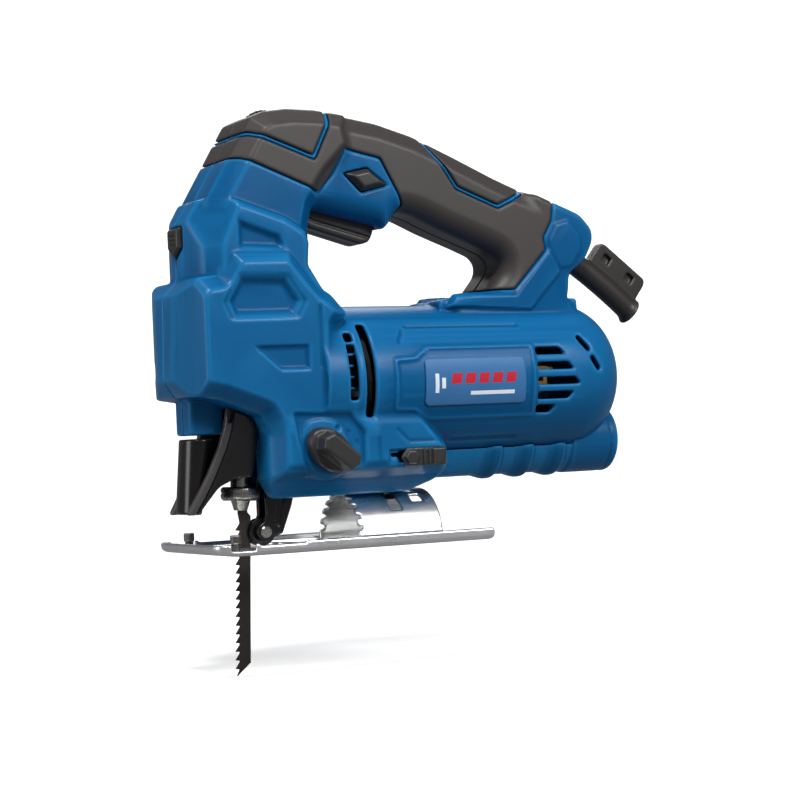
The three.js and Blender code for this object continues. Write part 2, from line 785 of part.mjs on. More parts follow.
// ---- blade guard with the laser's cone ----
const wingOutline = [
  [-53.8, 68], [-38.8, 68], [-38.8, 51.7], [-41.7, 34.5], [-49.3, 34.9], [-58.3, 30.9], [-68.5, 18.6],
  [-73.6, 19.2], [-69.4, 27], [-64.2, 36], [-58.6, 48], [-55, 58],
];
const coneOutline = [[-71, 53.5], [-74, 19], [-64, 18.4], [-56.4, 53.5]];
const coneHalfWidth = 8;
const wingThickness = 2.4;
const wingInner = [9.2, 14.6]; // distance from the middle plane at the bottom and at the top
const wingSlope = Math.atan2(wingInner[1] - wingInner[0], 68 - 19);
const wing = solid(
  extruded(moved(wingOutline, 0, -19), -wingThickness, 0)
    .applyMatrix4(alongY)
    .rotateX(-wingSlope)
    .translate(0, wingInner[0] - 1.6, 19),
);
const guardBrow = prismY([[-57, 63], [-58, 57], [-53.6, 56], [-52, 62]], -15, 15);
const laserTilt = Math.atan2(2.4, 34);
function inCone(geometry) {
  return solid(geometry.rotateY(laserTilt).translate(-69.6, 0, 19));
}
const guard = cut(
  fuse(
    prismY(coneOutline, -coneHalfWidth, coneHalfWidth, { bevel: 2.5, side: 2 }),
    wing,
    mirrored(wing),
    guardBrow,
  ),
  outerBody(gap),
  inCone(rod(4.6, 9, 45)),
  inCone(rod(3, -10, 20)),
);
const laserModule = inCone(rod(4.3, 15, 33));
const laserLens = inCone(rod(4.3, 11.5, 14.5));

// ---- controls ----
const trigger = prismY(triggerOutline, -triggerHalfWidth, triggerHalfWidth, { bevel: 1.5 });
const triggerSwitch = prismY([[0, 166.5], [30, 160], [30, 180], [0, 187]], -9, 9);
const lockButton = prismY(moved(lockDiamond, ...lockCentre), -gripHalfWidth - 2.8, -13, { bevel: 1 });
const laserButton = prismX(moved(laserShield, 0, laserButtonHeight), noseFrontX - 1.6, noseFrontX + 5.3, {
  bevel: 1,
});
const knobLever = turnedPoints(
  [...arc(9.2, 0, 3.9, -90, 90, 6), ...arc(-9.2, 0, 3.9, 90, 270, 6)],
  knobRest,
  knobX + 1.6,
  knobZ - 1.2,
);
const knobSeat = noseHalfWidth + 0.5;
const selectorKnob = fuse(
  ontoY(rod(knobRadius, -knobSeat - 3.2, -knobSeat, 28), knobX, knobZ),
  prismY(knobLever, -knobSeat - 12.6, -knobSeat - 2, { bevel: 1 }),
  ontoY(rod(3.5, -knobSeat - 1, -forkSlotHalfWidth - 1.5, 16), knobX, knobZ),
);
const sliderFace = noseHalfWidth + gap;
const blowerSlider = fuse(
  prismY(sliderOutline, -sliderFace - 3, -sliderFace, { bevel: 0.8 }),
  prismY([[27, 39], [38, 39], [38, 42], [27, 42]], -sliderFace - 0.5, -24),
);
function dialOutline() {
  return Array.from({ length: 36 }, (_, i) => {
    const radius = i % 2 ? dialRadius : dialRadius - 0.6;
    const angle = (Math.PI * i) / 18;
    return [dialX + radius * Math.cos(angle), dialZ + radius * Math.sin(angle)];
  });
}
const speedDial = prismY(dialOutline(), -dialHalfWidth, dialHalfWidth);

// ---- sole, cradle and their clamp ----
const halfLength = soleLength / 2;
const halfWidth = soleWidth / 2;
const corner = 5;
const soleOutline = [
  [-halfLength + corner, -halfWidth], [halfLength, -halfWidth], [halfLength, halfWidth],
  [-halfLength + corner, halfWidth], [-halfLength, halfWidth - corner], [-halfLength, -halfWidth + corner],
];
const innerOutline = [
  [-halfLength + corner, -halfWidth + flangeWall], [halfLength + 1, -halfWidth + flangeWall],
  [halfLength + 1, halfWidth - flangeWall], [-halfLength + corner, halfWidth - flangeWall],
  [-halfLength + flangeWall, halfWidth - corner], [-halfLength + flangeWall, -halfWidth + corner],
];
const slotFront = -halfLength + 7;
const slotRear = -15;
const slotHalfWidth = 20;
const bladeSlot = [
  [slotFront + 4, -slotHalfWidth], [slotRear - 4, -slotHalfWidth], [slotRear, -slotHalfWidth + 4],
  [slotRear, slotHalfWidth - 4], [slotRear - 4, slotHalfWidth], [slotFront + 4, slotHalfWidth],
  [slotFront, slotHalfWidth - 4], [slotFront, -slotHalfWidth + 4],
];
const fenceX = -58;
const fenceY = 28;
const fenceScrewRadius = 2;
const fenceHeadRadius = 2.5;
const sole = cut(
  prismZ(soleOutline, 0, flangeHeight),
  prismZ(innerOutline, soleSheet, flangeHeight + 5),
  prismZ(bladeSlot, -1, soleSheet + 1),
  solid(rod(5, -1, 10).translate(clampX, 0, 0)),
  box(fenceX - 6, fenceX + 6, -halfWidth - 1, -halfWidth + flangeWall + 1, 2.4, 5),
  box(fenceX - 6, fenceX + 6, halfWidth - flangeWall - 1, halfWidth + 1, 2.4, 5),
  box(-52, -26, -halfWidth - 1, -halfWidth + flangeWall + 1, 4.4, 6),
  box(-52, -26, halfWidth - flangeWall - 1, halfWidth + 1, 4.4, 6),
  ...[-fenceY, fenceY].map((y) => solid(rod(fenceScrewRadius + gap, -1, 5, 16).translate(fenceX, y, 0))),
);

function fenceScrew(y) {
  const bottom = 0.6;
  const headLow = 5.4;
  const head = turned([
    [0, bottom],
    [fenceScrewRadius, bottom],
    [fenceScrewRadius, headLow],
    [fenceHeadRadius, headLow],
    [fenceHeadRadius, headLow + 4],
    [0, headLow + 4],
  ], 20);
  const socket = prismZ(circle(fenceX, y, 1.4, 6), headLow + 2, headLow + 6);
  return cut(solid(head.translate(fenceX, y, 0)), socket);
}

const cradleInner = cradleRadius - cradleSheet;
const footReach = 7;
function cradleArc(radius, from, to, count) {
  return arc(0, cradleAxisHeight, radius, from, to, count);
}
const footLow = soleSheet + gap;
const cradleSection = [
  [cradleRadius + footReach, footLow],
  [cradleRadius + footReach, footLow + cradleSheet],
  [cradleRadius, footLow + cradleSheet],
  ...cradleArc(cradleRadius, 6, 174, 20),
  [-cradleRadius, footLow + cradleSheet],
  [-cradleRadius - footReach, footLow + cradleSheet],
  [-cradleRadius - footReach, footLow],
  [-cradleInner, footLow],
  ...cradleArc(cradleInner, 178, 2, 20),
  [cradleInner, footLow],
];
const slotReach = tiltLimit + 9;
const clampSlot = prismX(
  [
    ...cradleArc(cradleRadius + 3, 90 - slotReach, 90 + slotReach, 14),
    ...cradleArc(cradleInner - 3, 90 + slotReach, 90 - slotReach, 14),
  ],
  clampX - clampScrewRadius - running,
  clampX + clampScrewRadius + running,
);

// A piece cut through the cradle's wall at an angle from the top, between two places along X.
function cradleWindow(angle, x0, x1, halfAngle) {
  const outline = [
    ...cradleArc(cradleRadius + 3, 90 + angle - halfAngle, 90 + angle + halfAngle, 2),
    ...cradleArc(cradleInner - 3, 90 + angle + halfAngle, 90 + angle - halfAngle, 2),
  ];
  return prismX(outline, x0, x1);
}

const windowAngles = [-35, -12, 12, 35];
const toothAngles = [-75, -60, -45, -30, -15, 0, 15, 30, 45, 60, 75];
const cradle = cut(
  prismX(cradleSection, cradleFront, cradleRear),
  clampSlot,
  ...windowAngles.map((angle) => cradleWindow(angle, cradleRear - 12, cradleRear - 6.5, 7)),
  ...toothAngles.map((angle) => cradleWindow(angle, cradleFront - 1, cradleFront + 2, 3.2)),
);

const saddleOuter = cradleInner - running;
const saddleInner = saddleOuter - 3;
const clampSaddle = cut(
  prismX(
    [...cradleArc(saddleOuter, 62, 118, 8), ...cradleArc(saddleInner, 118, 62, 8)],
    clampX - 12,
    clampX + 12,
  ),
  clampHole,
);
const clampHeadRadius = 4.2;
const clampHeadTop = cradleAxisHeight + Math.sqrt(saddleInner ** 2 - (clampHeadRadius + gap) ** 2) - gap;
const clampHead = 5;
const clampScrew = cut(
  solid(
    turned([
      [0, clampHeadTop - clampHead],
      [clampHeadRadius, clampHeadTop - clampHead],
      [clampHeadRadius, clampHeadTop],
      [clampScrewRadius, clampHeadTop],
      [clampScrewRadius, clampScrewTop],
      [0, clampScrewTop],
    ]).translate(clampX, 0, 0),
  ),
  prismZ(circle(clampX, 0, 2.2, 6), 0, clampHeadTop - 2),
);

// ---- dust tube: a duct under the barrel that ends in a round port ----
const tubeRings = [86, 104, 122];
const ductStep = 0.9; // the duct is slimmer than the port, and its rings are thicker

function tubeLength(radius, from, to) {
  return ontoX(ring(tubeRadius - tubeWall, radius, from, to, 24), 0, tubeAxisHeight);
}

const duct = cut(
  fuse(
    tubeLength(tubeRadius - ductStep, footRear + gap, portFront + gap),
    ...tubeRings.map((x) => tubeLength(tubeRadius + ductStep, x, x + 3.4)),
  ),
  barrelBody(gap),
);
const dustTube = fuse(duct, tubeLength(tubeRadius, portFront + gap, tubeRear));

// ---- cord sleeve with its key holder ----
const holderFin = cut(
  prismY([[9, 3], [9, 18], [13, 19.2], [43, 18.6], [44, 5], [30, 4.6]], -3, 3),
  box(16.2, 20.8, -9, 9, 11.6, 15.8),
  box(32.4, 37, -9, 9, 10.6, 14.8),
);
const sleeveLip = solid(rod(sleeveRadius + 1.4, 0, 3, 12).rotateY(Math.PI / 2 + 0.11))
  .translate([sleeveLength - 2.9, 0, 0.3]);
const sleeveFlange = solid(rod(sleeveRadius + 1.6, 0, 2.4, 12).rotateY(Math.PI / 2))
  .translate([-9.2, 0, -0.4]);
const sleeve = placedSleeve(
  cut(fuse(alongSleeve(sleeveRadius), holderFin, sleeveLip, sleeveFlange), alongSleeve(sleeveBore)),
);

// ---- label plate, bent round the barrel's left side ----
const labelSheet = 0.6;
const labelPlate = ontoX(
  ring(barrelRadius + 0.1, barrelRadius + 0.1 + labelSheet, 38, 92.5, 96),
  0,
  motorAxisHeight,
).intersect(box(38, 92.5, -45, -20, 64.2, 86));

// ---- the tool's nodes ----
const leftHalf = box(-200, 300, -100, -gap / 2, -50, 300);
const rightHalf = box(-200, 300, gap / 2, 100, -50, 300);
const rubber = cut(
  rubberZone.intersect(handleSkin),
  dialSlot,
  triggerSlot,
  lockHole,
  sleeveHole,
  frontBody(gap),
  ...screwHoles,
);
const pieceOf = (all) => all.decompose().sort((a, b) => b.volume() - a.volume())[0];

add("left_housing", pieceOf(openHousing.intersect(leftHalf)), "blue");
add("right_housing", pieceOf(openHousing.intersect(rightHalf)), "blue");
add("left_grip", pieceOf(rubber.intersect(leftHalf)), "rubber");
add("right_grip", pieceOf(rubber.intersect(rightHalf)), "rubber");
add("dust_tube", pieceOf(dustTube), "blue");
add("cord_sleeve", pieceOf(sleeve), "rubber");
add("label_plate", labelPlate, "label");
add("blade_guard", guard, "black");
add("laser_module", laserModule, "brass");
add("laser_lens", laserLens, "lens");
add("gear_case", gearCase, "cast");
add("upper_bush", bush(...upperArm), "brass");
add("lower_bush", bush(...lowerArm), "brass");
add("gear_shaft", gearShaft, "steel");
add("front_bearing", frontBearing, "steel");
add("rear_bearing", rearBearing, "steel");
add("stator_core", statorCore, "dark");
add("field_coil_front", coilFront, "copper");
add("field_coil_rear", coilRear, "copper");
add("brush_holder_left", brushHolder(-1), "brass");
add("brush_holder_right", brushHolder(1), "brass");
add("carbon_brush_left", carbonBrush(-1), "carbon");
add("carbon_brush_right", carbonBrush(1), "carbon");
add("trigger_switch", triggerSwitch, "black");
add("fork_pin", forkPin, "steel");
add("clamp_saddle", clampSaddle, "steel");
add("clamp_screw", clampScrew, "dark");
screwPlaces.forEach(([x, z], i) => {
  const screw = turned([
    [0, screwTip],
    [screwRadius, screwTip],
    [screwRadius, screwSeat + gap],
    [screwHeadRadius, screwSeat + gap],
    [screwHeadRadius, screwSeat + gap + 2.4],
    [0, screwSeat + gap + 2.4],
  ], 8);
  add("housing_screw_" + (i + 1), ontoY(screw, x, z), "dark");
});
add("sole_plate", sole, "bright");
add("tilt_cradle", cradle, "bright");
add("fence_screw_left", fenceScrew(-fenceY), "dark");
add("fence_screw_right", fenceScrew(fenceY), "dark");
add("plunger", plunger, "steel");
add("blade", blade, "dark");
add("clamp_collar", collar, "steel");
add("armature_shaft", armatureShaft, "steel");
add("armature_core", armatureCore, "dark");
add("armature_winding_front", windingFront, "copper");
add("armature_winding_rear", windingRear, "copper");
add("commutator", commutator, "copper");
add("cooling_fan", fan, "black");
add("drive_gear", driveGear, "steel");
add("pendulum_fork", pendulumFork, "black");
add("roller_pin", rollerPin, "steel");
add("guide_roller", roller, "black");
add("selector_knob", selectorKnob, "black");
add("trigger", trigger, "black");
add("lock_on_button", lockButton, "black");
add("laser_button", laserButton, "black");
add("blower_slider", blowerSlider, "black");
add("speed_dial", speedDial, "black");

export default tool;
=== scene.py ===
import math

import bmesh
import bpy
import numpy as np
from mathutils import Matrix, Vector


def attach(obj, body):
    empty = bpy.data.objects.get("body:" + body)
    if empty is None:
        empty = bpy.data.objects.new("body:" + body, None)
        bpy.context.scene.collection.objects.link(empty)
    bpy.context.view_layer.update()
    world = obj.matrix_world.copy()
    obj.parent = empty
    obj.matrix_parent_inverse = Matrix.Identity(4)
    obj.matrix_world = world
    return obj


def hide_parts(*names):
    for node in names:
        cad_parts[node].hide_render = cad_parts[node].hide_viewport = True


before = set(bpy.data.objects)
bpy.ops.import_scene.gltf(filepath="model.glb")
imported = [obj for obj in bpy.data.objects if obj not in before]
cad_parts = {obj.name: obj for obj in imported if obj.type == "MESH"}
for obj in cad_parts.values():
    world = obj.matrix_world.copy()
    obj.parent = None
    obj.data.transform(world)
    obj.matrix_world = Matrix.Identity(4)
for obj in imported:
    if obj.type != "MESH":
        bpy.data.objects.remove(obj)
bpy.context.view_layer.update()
print("frame loaded:", len(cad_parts), "nodes")

# Shapes are worked out in millimetres, with +X to the rear, +Y to the right and +Z up, then scaled to metres.
metre = 0.001


# flat distances: each gives how far a point is outside an outline or a line, negative inside
def outline(points):
    # the nearest edge's distance, with the sign of an even-odd crossing count
    corners = np.asarray(points, np.float32)

    def distance(a, b):
        nearest = np.full(np.broadcast(a, b).shape, 1e12, np.float32)
        inside = np.zeros(nearest.shape, bool)
        for (pa, pb), (qa, qb) in zip(corners, np.roll(corners, -1, axis=0)):
            ea, eb = qa - pa, qb - pb
            wa, wb = a - pa, b - pb
            along = np.clip((wa * ea + wb * eb) / (ea * ea + eb * eb), 0, 1)
            nearest = np.minimum(nearest, (wa - ea * along) ** 2 + (wb - eb * along) ** 2)
            if eb != 0:
                inside ^= ((pb > b) != (qb > b)) & (a < ea * (b - pb) / eb + pa)
        return np.where(inside, -1, 1).astype(np.float32) * np.sqrt(nearest)

    return distance


def line(points, width):
    # a stripe of even width along an open run of points
    corners = np.asarray(points, np.float32)

    def distance(a, b):
        nearest = np.full(np.broadcast(a, b).shape, 1e12, np.float32)
        for (pa, pb), (qa, qb) in zip(corners[:-1], corners[1:]):
            ea, eb = qa - pa, qb - pb
            wa, wb = a - pa, b - pb
            along = np.clip((wa * ea + wb * eb) / (ea * ea + eb * eb), 0, 1)
            nearest = np.minimum(nearest, (wa - ea * along) ** 2 + (wb - eb * along) ** 2)
        return np.sqrt(nearest) - width / 2

    return distance


def eased(points, radius, steps=3):
    # each corner is swapped for a short parabola that starts one radius before it
    points = np.asarray(points, float)
    before = np.roll(points, 1, axis=0) - points
    after = np.roll(points, -1, axis=0) - points
    lengthBefore = np.linalg.norm(before, axis=1, keepdims=True)
    lengthAfter = np.linalg.norm(after, axis=1, keepdims=True)
    start = points + before * np.minimum(radius / lengthBefore, 0.45)
    end = points + after * np.minimum(radius / lengthAfter, 0.45)
    t = np.linspace(0, 1, steps + 1)[None, :, None]
    curve = start[:, None] * (1 - t) ** 2 + points[:, None] * 2 * t * (1 - t) + end[:, None] * t ** 2
    return curve.reshape(-1, 2)


# joining and cutting distances
def meet(a, b, radius=0):
    # what lies in both, with the edge between them rounded
    if radius <= 0:
        return np.maximum(a, b)
    reach = np.hypot(np.maximum(a + radius, 0), np.maximum(b + radius, 0))
    return np.minimum(np.maximum(a, b), -radius) + reach


def join(a, b, radius=0):
    # what lies in either, with a fillet in the corner between them
    return -meet(-a, -b, radius)


def slope(distance, offset, bevel, side):
    # the slanted face that takes bevel off the width and side off the outline
    return (bevel * distance + side * (offset + bevel)) / math.hypot(bevel, side)


def plate(flat, low, high, radius=0.4):
    # an outline in X and Z, carried across from low to high
    def distance(x, y, z):
        return meet(flat(x, z), np.maximum(low - y, y - high), radius)

    return distance


def ball(x, y, z, radius):
    return np.sqrt(x * x + y * y + z * z) - radius


def barAlong(axis, centre, radius, low, high, edge=0.3):
    # a round bar along one axis: the other two coordinates give its radius
    def distance(x, y, z):
        own = (x, y, z)[axis]
        others = [c for i, c in enumerate((x, y, z)) if i != axis]
        radial = np.hypot(others[0] - centre[0], others[1] - centre[1]) - radius
        return meet(radial, np.maximum(low - own, own - high), edge)

    return distance


def cuboid(low, high, radius=0):
    def distance(x, y, z):
        flat = [np.maximum(a - c, c - b) for a, b, c in zip(low, high, (x, y, z))]
        return meet(meet(flat[0], flat[1], radius), flat[2], radius)

    return distance


class Block:
    # a box of sample points that holds one distance each, to which shapes are added and from which they are cut
    def __init__(self, low, high, cell):
        self.cell = cell
        self.lines = [np.arange(a, b + cell, cell, dtype=np.float32) for a, b in zip(low, high)]
        self.value = np.full([len(c) for c in self.lines], 9, np.float32)

    def span(self, box):
        if box is None:
            box = [(c[0], c[-1]) for c in self.lines]
        cuts = []
        for c, (low, high) in zip(self.lines, box):
            first = max(0, np.searchsorted(c, low) - 1)
            last = min(len(c), np.searchsorted(c, high) + 1)
            cuts.append(slice(first, max(last, first + 1)))
        return tuple(cuts)

    def points(self, cuts):
        x, y, z = (c[s] for c, s in zip(self.lines, cuts))
        return x[:, None, None], y[None, :, None], z[None, None, :]

    def add(self, shape, box=None, fillet=0):
        cuts = self.span(box)
        self.value[cuts] = join(self.value[cuts], shape(*self.points(cuts)), fillet)
        return self

    def cut(self, shape, box=None, edge=0):
        cuts = self.span(box)
        self.value[cuts] = meet(self.value[cuts], -shape(*self.points(cuts)), edge)
        return self

    def keep(self, shape, edge=0):
        cuts = self.span(None)
        self.value[cuts] = meet(self.value[cuts], shape(*self.points(cuts)), edge)
        return self

    def settle(self):
        # evens the distances a little, so that no edge is finer than the cells can show
        for axis in range(3):
            middle = [slice(None)] * 3
            before, after = list(middle), list(middle)
            middle[axis], before[axis], after[axis] = slice(1, -1), slice(None, -2), slice(2, None)
            old = self.value
            new = old.copy()
            new[tuple(middle)] = old[tuple(middle)] * 0.6 + (old[tuple(before)] + old[tuple(after)]) * 0.2
            self.value = new

    def sample(self, spots):
        # the distance at any place, mixed from the eight grid points round it; spots count in cells
        limit = np.array(self.value.shape) - 1.001
        spots = np.clip(spots, 0, limit)
        base = spots.astype(np.int32)
        part = (spots - base).astype(np.float32)
        total = np.zeros(len(spots), np.float32)
        for i, j, k in np.ndindex(2, 2, 2):
            weight = 1
            for axis, corner in enumerate((i, j, k)):
                weight = weight * (part[:, axis] if corner else 1 - part[:, axis])
            total += weight * self.value[base[:, 0] + i, base[:, 1] + j, base[:, 2] + k]
        return total

    def slopeAt(self, spots):
        return np.stack([self.sample(spots + step) - self.sample(spots - step) for step in np.eye(3) * 0.5], 1)

    def skin(self):
        # one point in every cell that the surface crosses, at the mean of its edges' crossings and then
        # drawn onto the surface, and one quad for every crossed edge, through the four cells round it
        self.settle()
        value = self.value
        inside = value < 0
        count = np.zeros([n - 1 for n in value.shape], np.int8)
        corners = [(i, j, k) for i in (0, 1) for j in (0, 1) for k in (0, 1)]
        for i, j, k in corners:
            nx, ny, nz = count.shape
            count += inside[i:i + nx, j:j + ny, k:k + nz]
        active = (count > 0) & (count < 8)
        number = np.full(count.shape, -1, np.int32)
        number[active] = np.arange(active.sum())
        cells = np.argwhere(active)
        total = np.zeros((len(cells), 3))
        crossings = np.zeros(len(cells))
        for axis in range(3):
            step = np.eye(3, dtype=int)[axis]
            for corner in corners:
                if corner[axis]:
                    continue
                start = cells + corner
                end = start + step
                a = value[tuple(start.T)].astype(float)
                b = value[tuple(end.T)].astype(float)
                crossed = (a < 0) != (b < 0)
                share = a[crossed] / (a[crossed] - b[crossed])
                total[crossed] += start[crossed] + share[:, None] * step
                crossings[crossed] += 1
        origin = np.array([c[0] for c in self.lines])
        spots = total / crossings[:, None]
        for _ in range(2):
            slopes = self.slopeAt(spots)
            steep = np.maximum((slopes ** 2).sum(1), 0.04)
            move = self.sample(spots)[:, None] * slopes / steep[:, None]
            spots = spots - np.clip(move, -0.5, 0.5)
        places = origin + self.cell * spots
        quads = []
        for axis in range(3):
            one, two = (axis + 1) % 3, (axis + 2) % 3
            first = np.take(inside, range(0, value.shape[axis] - 1), axis=axis)
            second = np.take(inside, range(1, value.shape[axis]), axis=axis)
            edges = np.argwhere(first != second)
            limit = np.array(count.shape)
            fits = (edges[:, one] > 0) & (edges[:, two] > 0)
            fits &= (edges[:, one] < limit[one]) & (edges[:, two] < limit[two])
            edges = edges[fits]
            turn = first[tuple(edges.T)]
            ring = []
            for back in ((1, 1), (0, 1), (0, 0), (1, 0)):
                cell = edges.copy()
                cell[:, one] -= back[0]
                cell[:, two] -= back[1]
                ring.append(number[tuple(cell.T)])
            ring = np.stack(ring, 1)
            quads.append(np.where(turn[:, None], ring, ring[:, ::-1]))
        # how far the surface bends at each point: above 0 on an outer edge, below 0 in a corner
        bend = -6.0 * self.sample(spots)
        for step in np.eye(3):
            bend += self.sample(spots + step) + self.sample(spots - step)
        self.facing = self.slopeAt(spots)
        self.facing /= np.maximum(np.linalg.norm(self.facing, axis=1), 1e-6)[:, None]
        return places, np.concatenate(quads), np.clip(bend / self.cell, -1, 1)


def newPiece(name, places, faces, body, replaced=(), bend=None):
    # points in millimetres and faces of four corners each, as a mesh at the origin
    mesh = bpy.data.meshes.new(name)
    faces = np.asarray(faces, np.int32)
    corners = faces.shape[1]
    mesh.vertices.add(len(places))
    mesh.vertices.foreach_set("co", (np.asarray(places) * metre).astype(np.float32).ravel())
    mesh.loops.add(faces.size)
    mesh.loops.foreach_set("vertex_index", faces.ravel())
    mesh.polygons.add(len(faces))
    mesh.polygons.foreach_set("loop_start", np.arange(0, faces.size, corners, dtype=np.int32))
    mesh.polygons.foreach_set("use_smooth", np.full(len(faces), True))
    mesh.update(calc_edges=True)
    mesh.validate()
    attribute = mesh.attributes.new("bend", "FLOAT", "POINT")
    attribute.data.foreach_set("value", (np.zeros(len(places)) if bend is None else bend).astype(np.float32))
    piece = bpy.data.objects.new(name, mesh)
    bpy.context.scene.collection.objects.link(piece)
    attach(piece, body)
    if replaced:
        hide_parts(*replaced)
    return piece


def thinInside(piece, block, outside, limit):
    # merges the faces that lie deep under the outer surface, out of sight, until the piece is within the limit
    mesh = piece.data
    origin = np.array([c[0] for c in block.lines])

    def spotsOf(mesh):
        places = np.empty(len(mesh.vertices) * 3, np.float32)
        mesh.vertices.foreach_get("co", places)
        places = places.reshape(-1, 3) / metre
        side = np.sign(places[:, 1].sum())
        return (places * [1, side, 1] - origin) / block.cell, side

    wall = block.value
    block.value = outside
    shown = np.flatnonzero(block.sample(spotsOf(mesh)[0]) > -1.2)
    block.value = wall
    piece.vertex_groups.new(name="shown").add(shown.tolist(), 1.0, "REPLACE")
    thin = piece.modifiers.new("thin", "DECIMATE")
    thin.ratio = min(1.0, limit / (len(mesh.polygons) * 2))
    thin.vertex_group = "shown"
    graph = bpy.context.evaluated_depsgraph_get()
    piece.data = bpy.data.meshes.new_from_object(piece.evaluated_get(graph))
    piece.modifiers.clear()
    piece.vertex_groups.clear()
    bpy.data.meshes.remove(mesh)
    spots, side = spotsOf(piece.data)
    facing = block.slopeAt(spots)
    facing *= np.array([1, side, 1]) / np.maximum(np.linalg.norm(facing, axis=1), 1e-6)[:, None]
    piece.data.normals_split_custom_set_from_vertices(facing.tolist())
    triangles = len(piece.data.loops) - 2 * len(piece.data.polygons)
    print("thinned", piece.name, "to", triangles, "triangles,", len(shown), "points shown")


def carved(name, block, body, replaced=(), turnOver=False):
    # the skin of a block as a piece; turned over, it is mirrored to the tool's left side
    places, quads, bend = block.skin()
    facing = block.facing
    if turnOver:
        places, facing = places * np.array([1, -1, 1]), facing * np.array([1, -1, 1])
        quads = quads[:, ::-1]
    piece = newPiece(name, places, quads, body, replaced, bend)
    if len(piece.data.vertices) == len(facing):
        piece.data.normals_split_custom_set_from_vertices(facing.tolist())
    print("carved", name, len(quads) * 2, "triangles")
    return piece


def gridQuads(index):
    return np.stack([index[:-1, :-1], index[1:, :-1], index[1:, 1:], index[:-1, 1:]], -1).reshape(-1, 4)


def grid(name, places, body, replaced=(), closed=(True, False), sharpAngle=35):
    # a grid of rows by columns, closed round its rows, its columns or neither, and its open ends capped by a pole
    rows, columns = places.shape[:2]
    index = np.arange(rows * columns).reshape(rows, columns)
    if closed[0]:
        index = np.vstack([index, index[:1]])
    if closed[1]:
        index = np.hstack([index, index[:, :1]])
    piece = newPiece(name, places.reshape(-1, 3), gridQuads(index), body, replaced)
    tidyMesh(piece, sharpAngle)
    return piece


def tidyMesh(piece, sharpAngle):
    # merges the poles' doubles, turns the faces outwards, and keeps edges above an angle crisp
    work = bmesh.new()
    work.from_mesh(piece.data)
    bmesh.ops.remove_doubles(work, verts=work.verts, dist=1e-7)
    bmesh.ops.recalc_face_normals(work, faces=work.faces)
    work.to_mesh(piece.data)
    work.free()
    piece.data.set_sharp_from_angle(angle=math.radians(sharpAngle))


def lathe(name, profile, body, replaced=(), axis="z", centre=(0, 0, 0), sides=64, lean=0):
    # a closed profile of radius and height turned once round its axis
    profile = np.asarray(profile, float)
    angle = np.linspace(0, 2 * np.pi, sides, endpoint=False)[:, None]
    across, up = profile[:, 0][None, :], profile[:, 1][None, :]
    turned = np.stack([across * np.cos(angle), across * np.sin(angle), up + 0 * angle], -1)
    if axis == "y":
        turned = turned[..., [1, 2, 0]]
    places = turned @ leaning(lean).T + np.array(centre)
    return grid(name, places, body, replaced, closed=(True, True))


def leaning(degrees):
    return np.array(Matrix.Rotation(math.radians(degrees), 3, "Y"))


# shader sums written as Python sums
class Value:
    def __init__(self, tree, socket):
        self.tree = tree
        self.socket = socket

    def maths(self, operation, *inputs):
        return addNode(self.tree, "ShaderNodeMath", {"operation": operation}, dict(enumerate(inputs)))

    def __add__(self, other):
        return self.maths("ADD", self, other)

    def __radd__(self, other):
        return self.maths("ADD", other, self)

    def __sub__(self, other):
        return self.maths("SUBTRACT", self, other)

    def __rsub__(self, other):
        return self.maths("SUBTRACT", other, self)

    def __mul__(self, other):
        return self.maths("MULTIPLY", self, other)

    def __rmul__(self, other):
        return self.maths("MULTIPLY", other, self)

    def __truediv__(self, other):
        return self.maths("DIVIDE", self, other)

    def above(self, level, softness=0.0):
        # 0 below the level and 1 above it, over a soft step
        if softness <= 0:
            return self.maths("GREATER_THAN", self, level)
        return ((self - level) / softness + 0.5).clipped()

    def clipped(self):
        return self.maths("MINIMUM", self.maths("MAXIMUM", self, 0.0), 1.0)

    def size(self):
        return self.maths("ABSOLUTE", self)


def addNode(tree, kind, settings=None, inputs=None, output=0):
    # settings go first, because they can change which sockets there are
    made = tree.nodes.new(kind)
    for key, value in (settings or {}).items():
        if key == "stops":
            for i, (place, colour) in enumerate(value):
                stop = made.color_ramp.elements[i] if i < 2 else made.color_ramp.elements.new(place)
                stop.position = place
                stop.color = (*colour, 1)
        else:
            setattr(made, key, value)
    for key, value in (inputs or {}).items():
        socket = made.inputs[key]
        if isinstance(value, Value):
            tree.links.new(value.socket, socket)
        elif value is not None:
            if isinstance(value, (tuple, list)) and socket.type == "RGBA" and len(value) == 3:
                value = (*value, 1)
            socket.default_value = value
    return Value(tree, made.outputs[output])


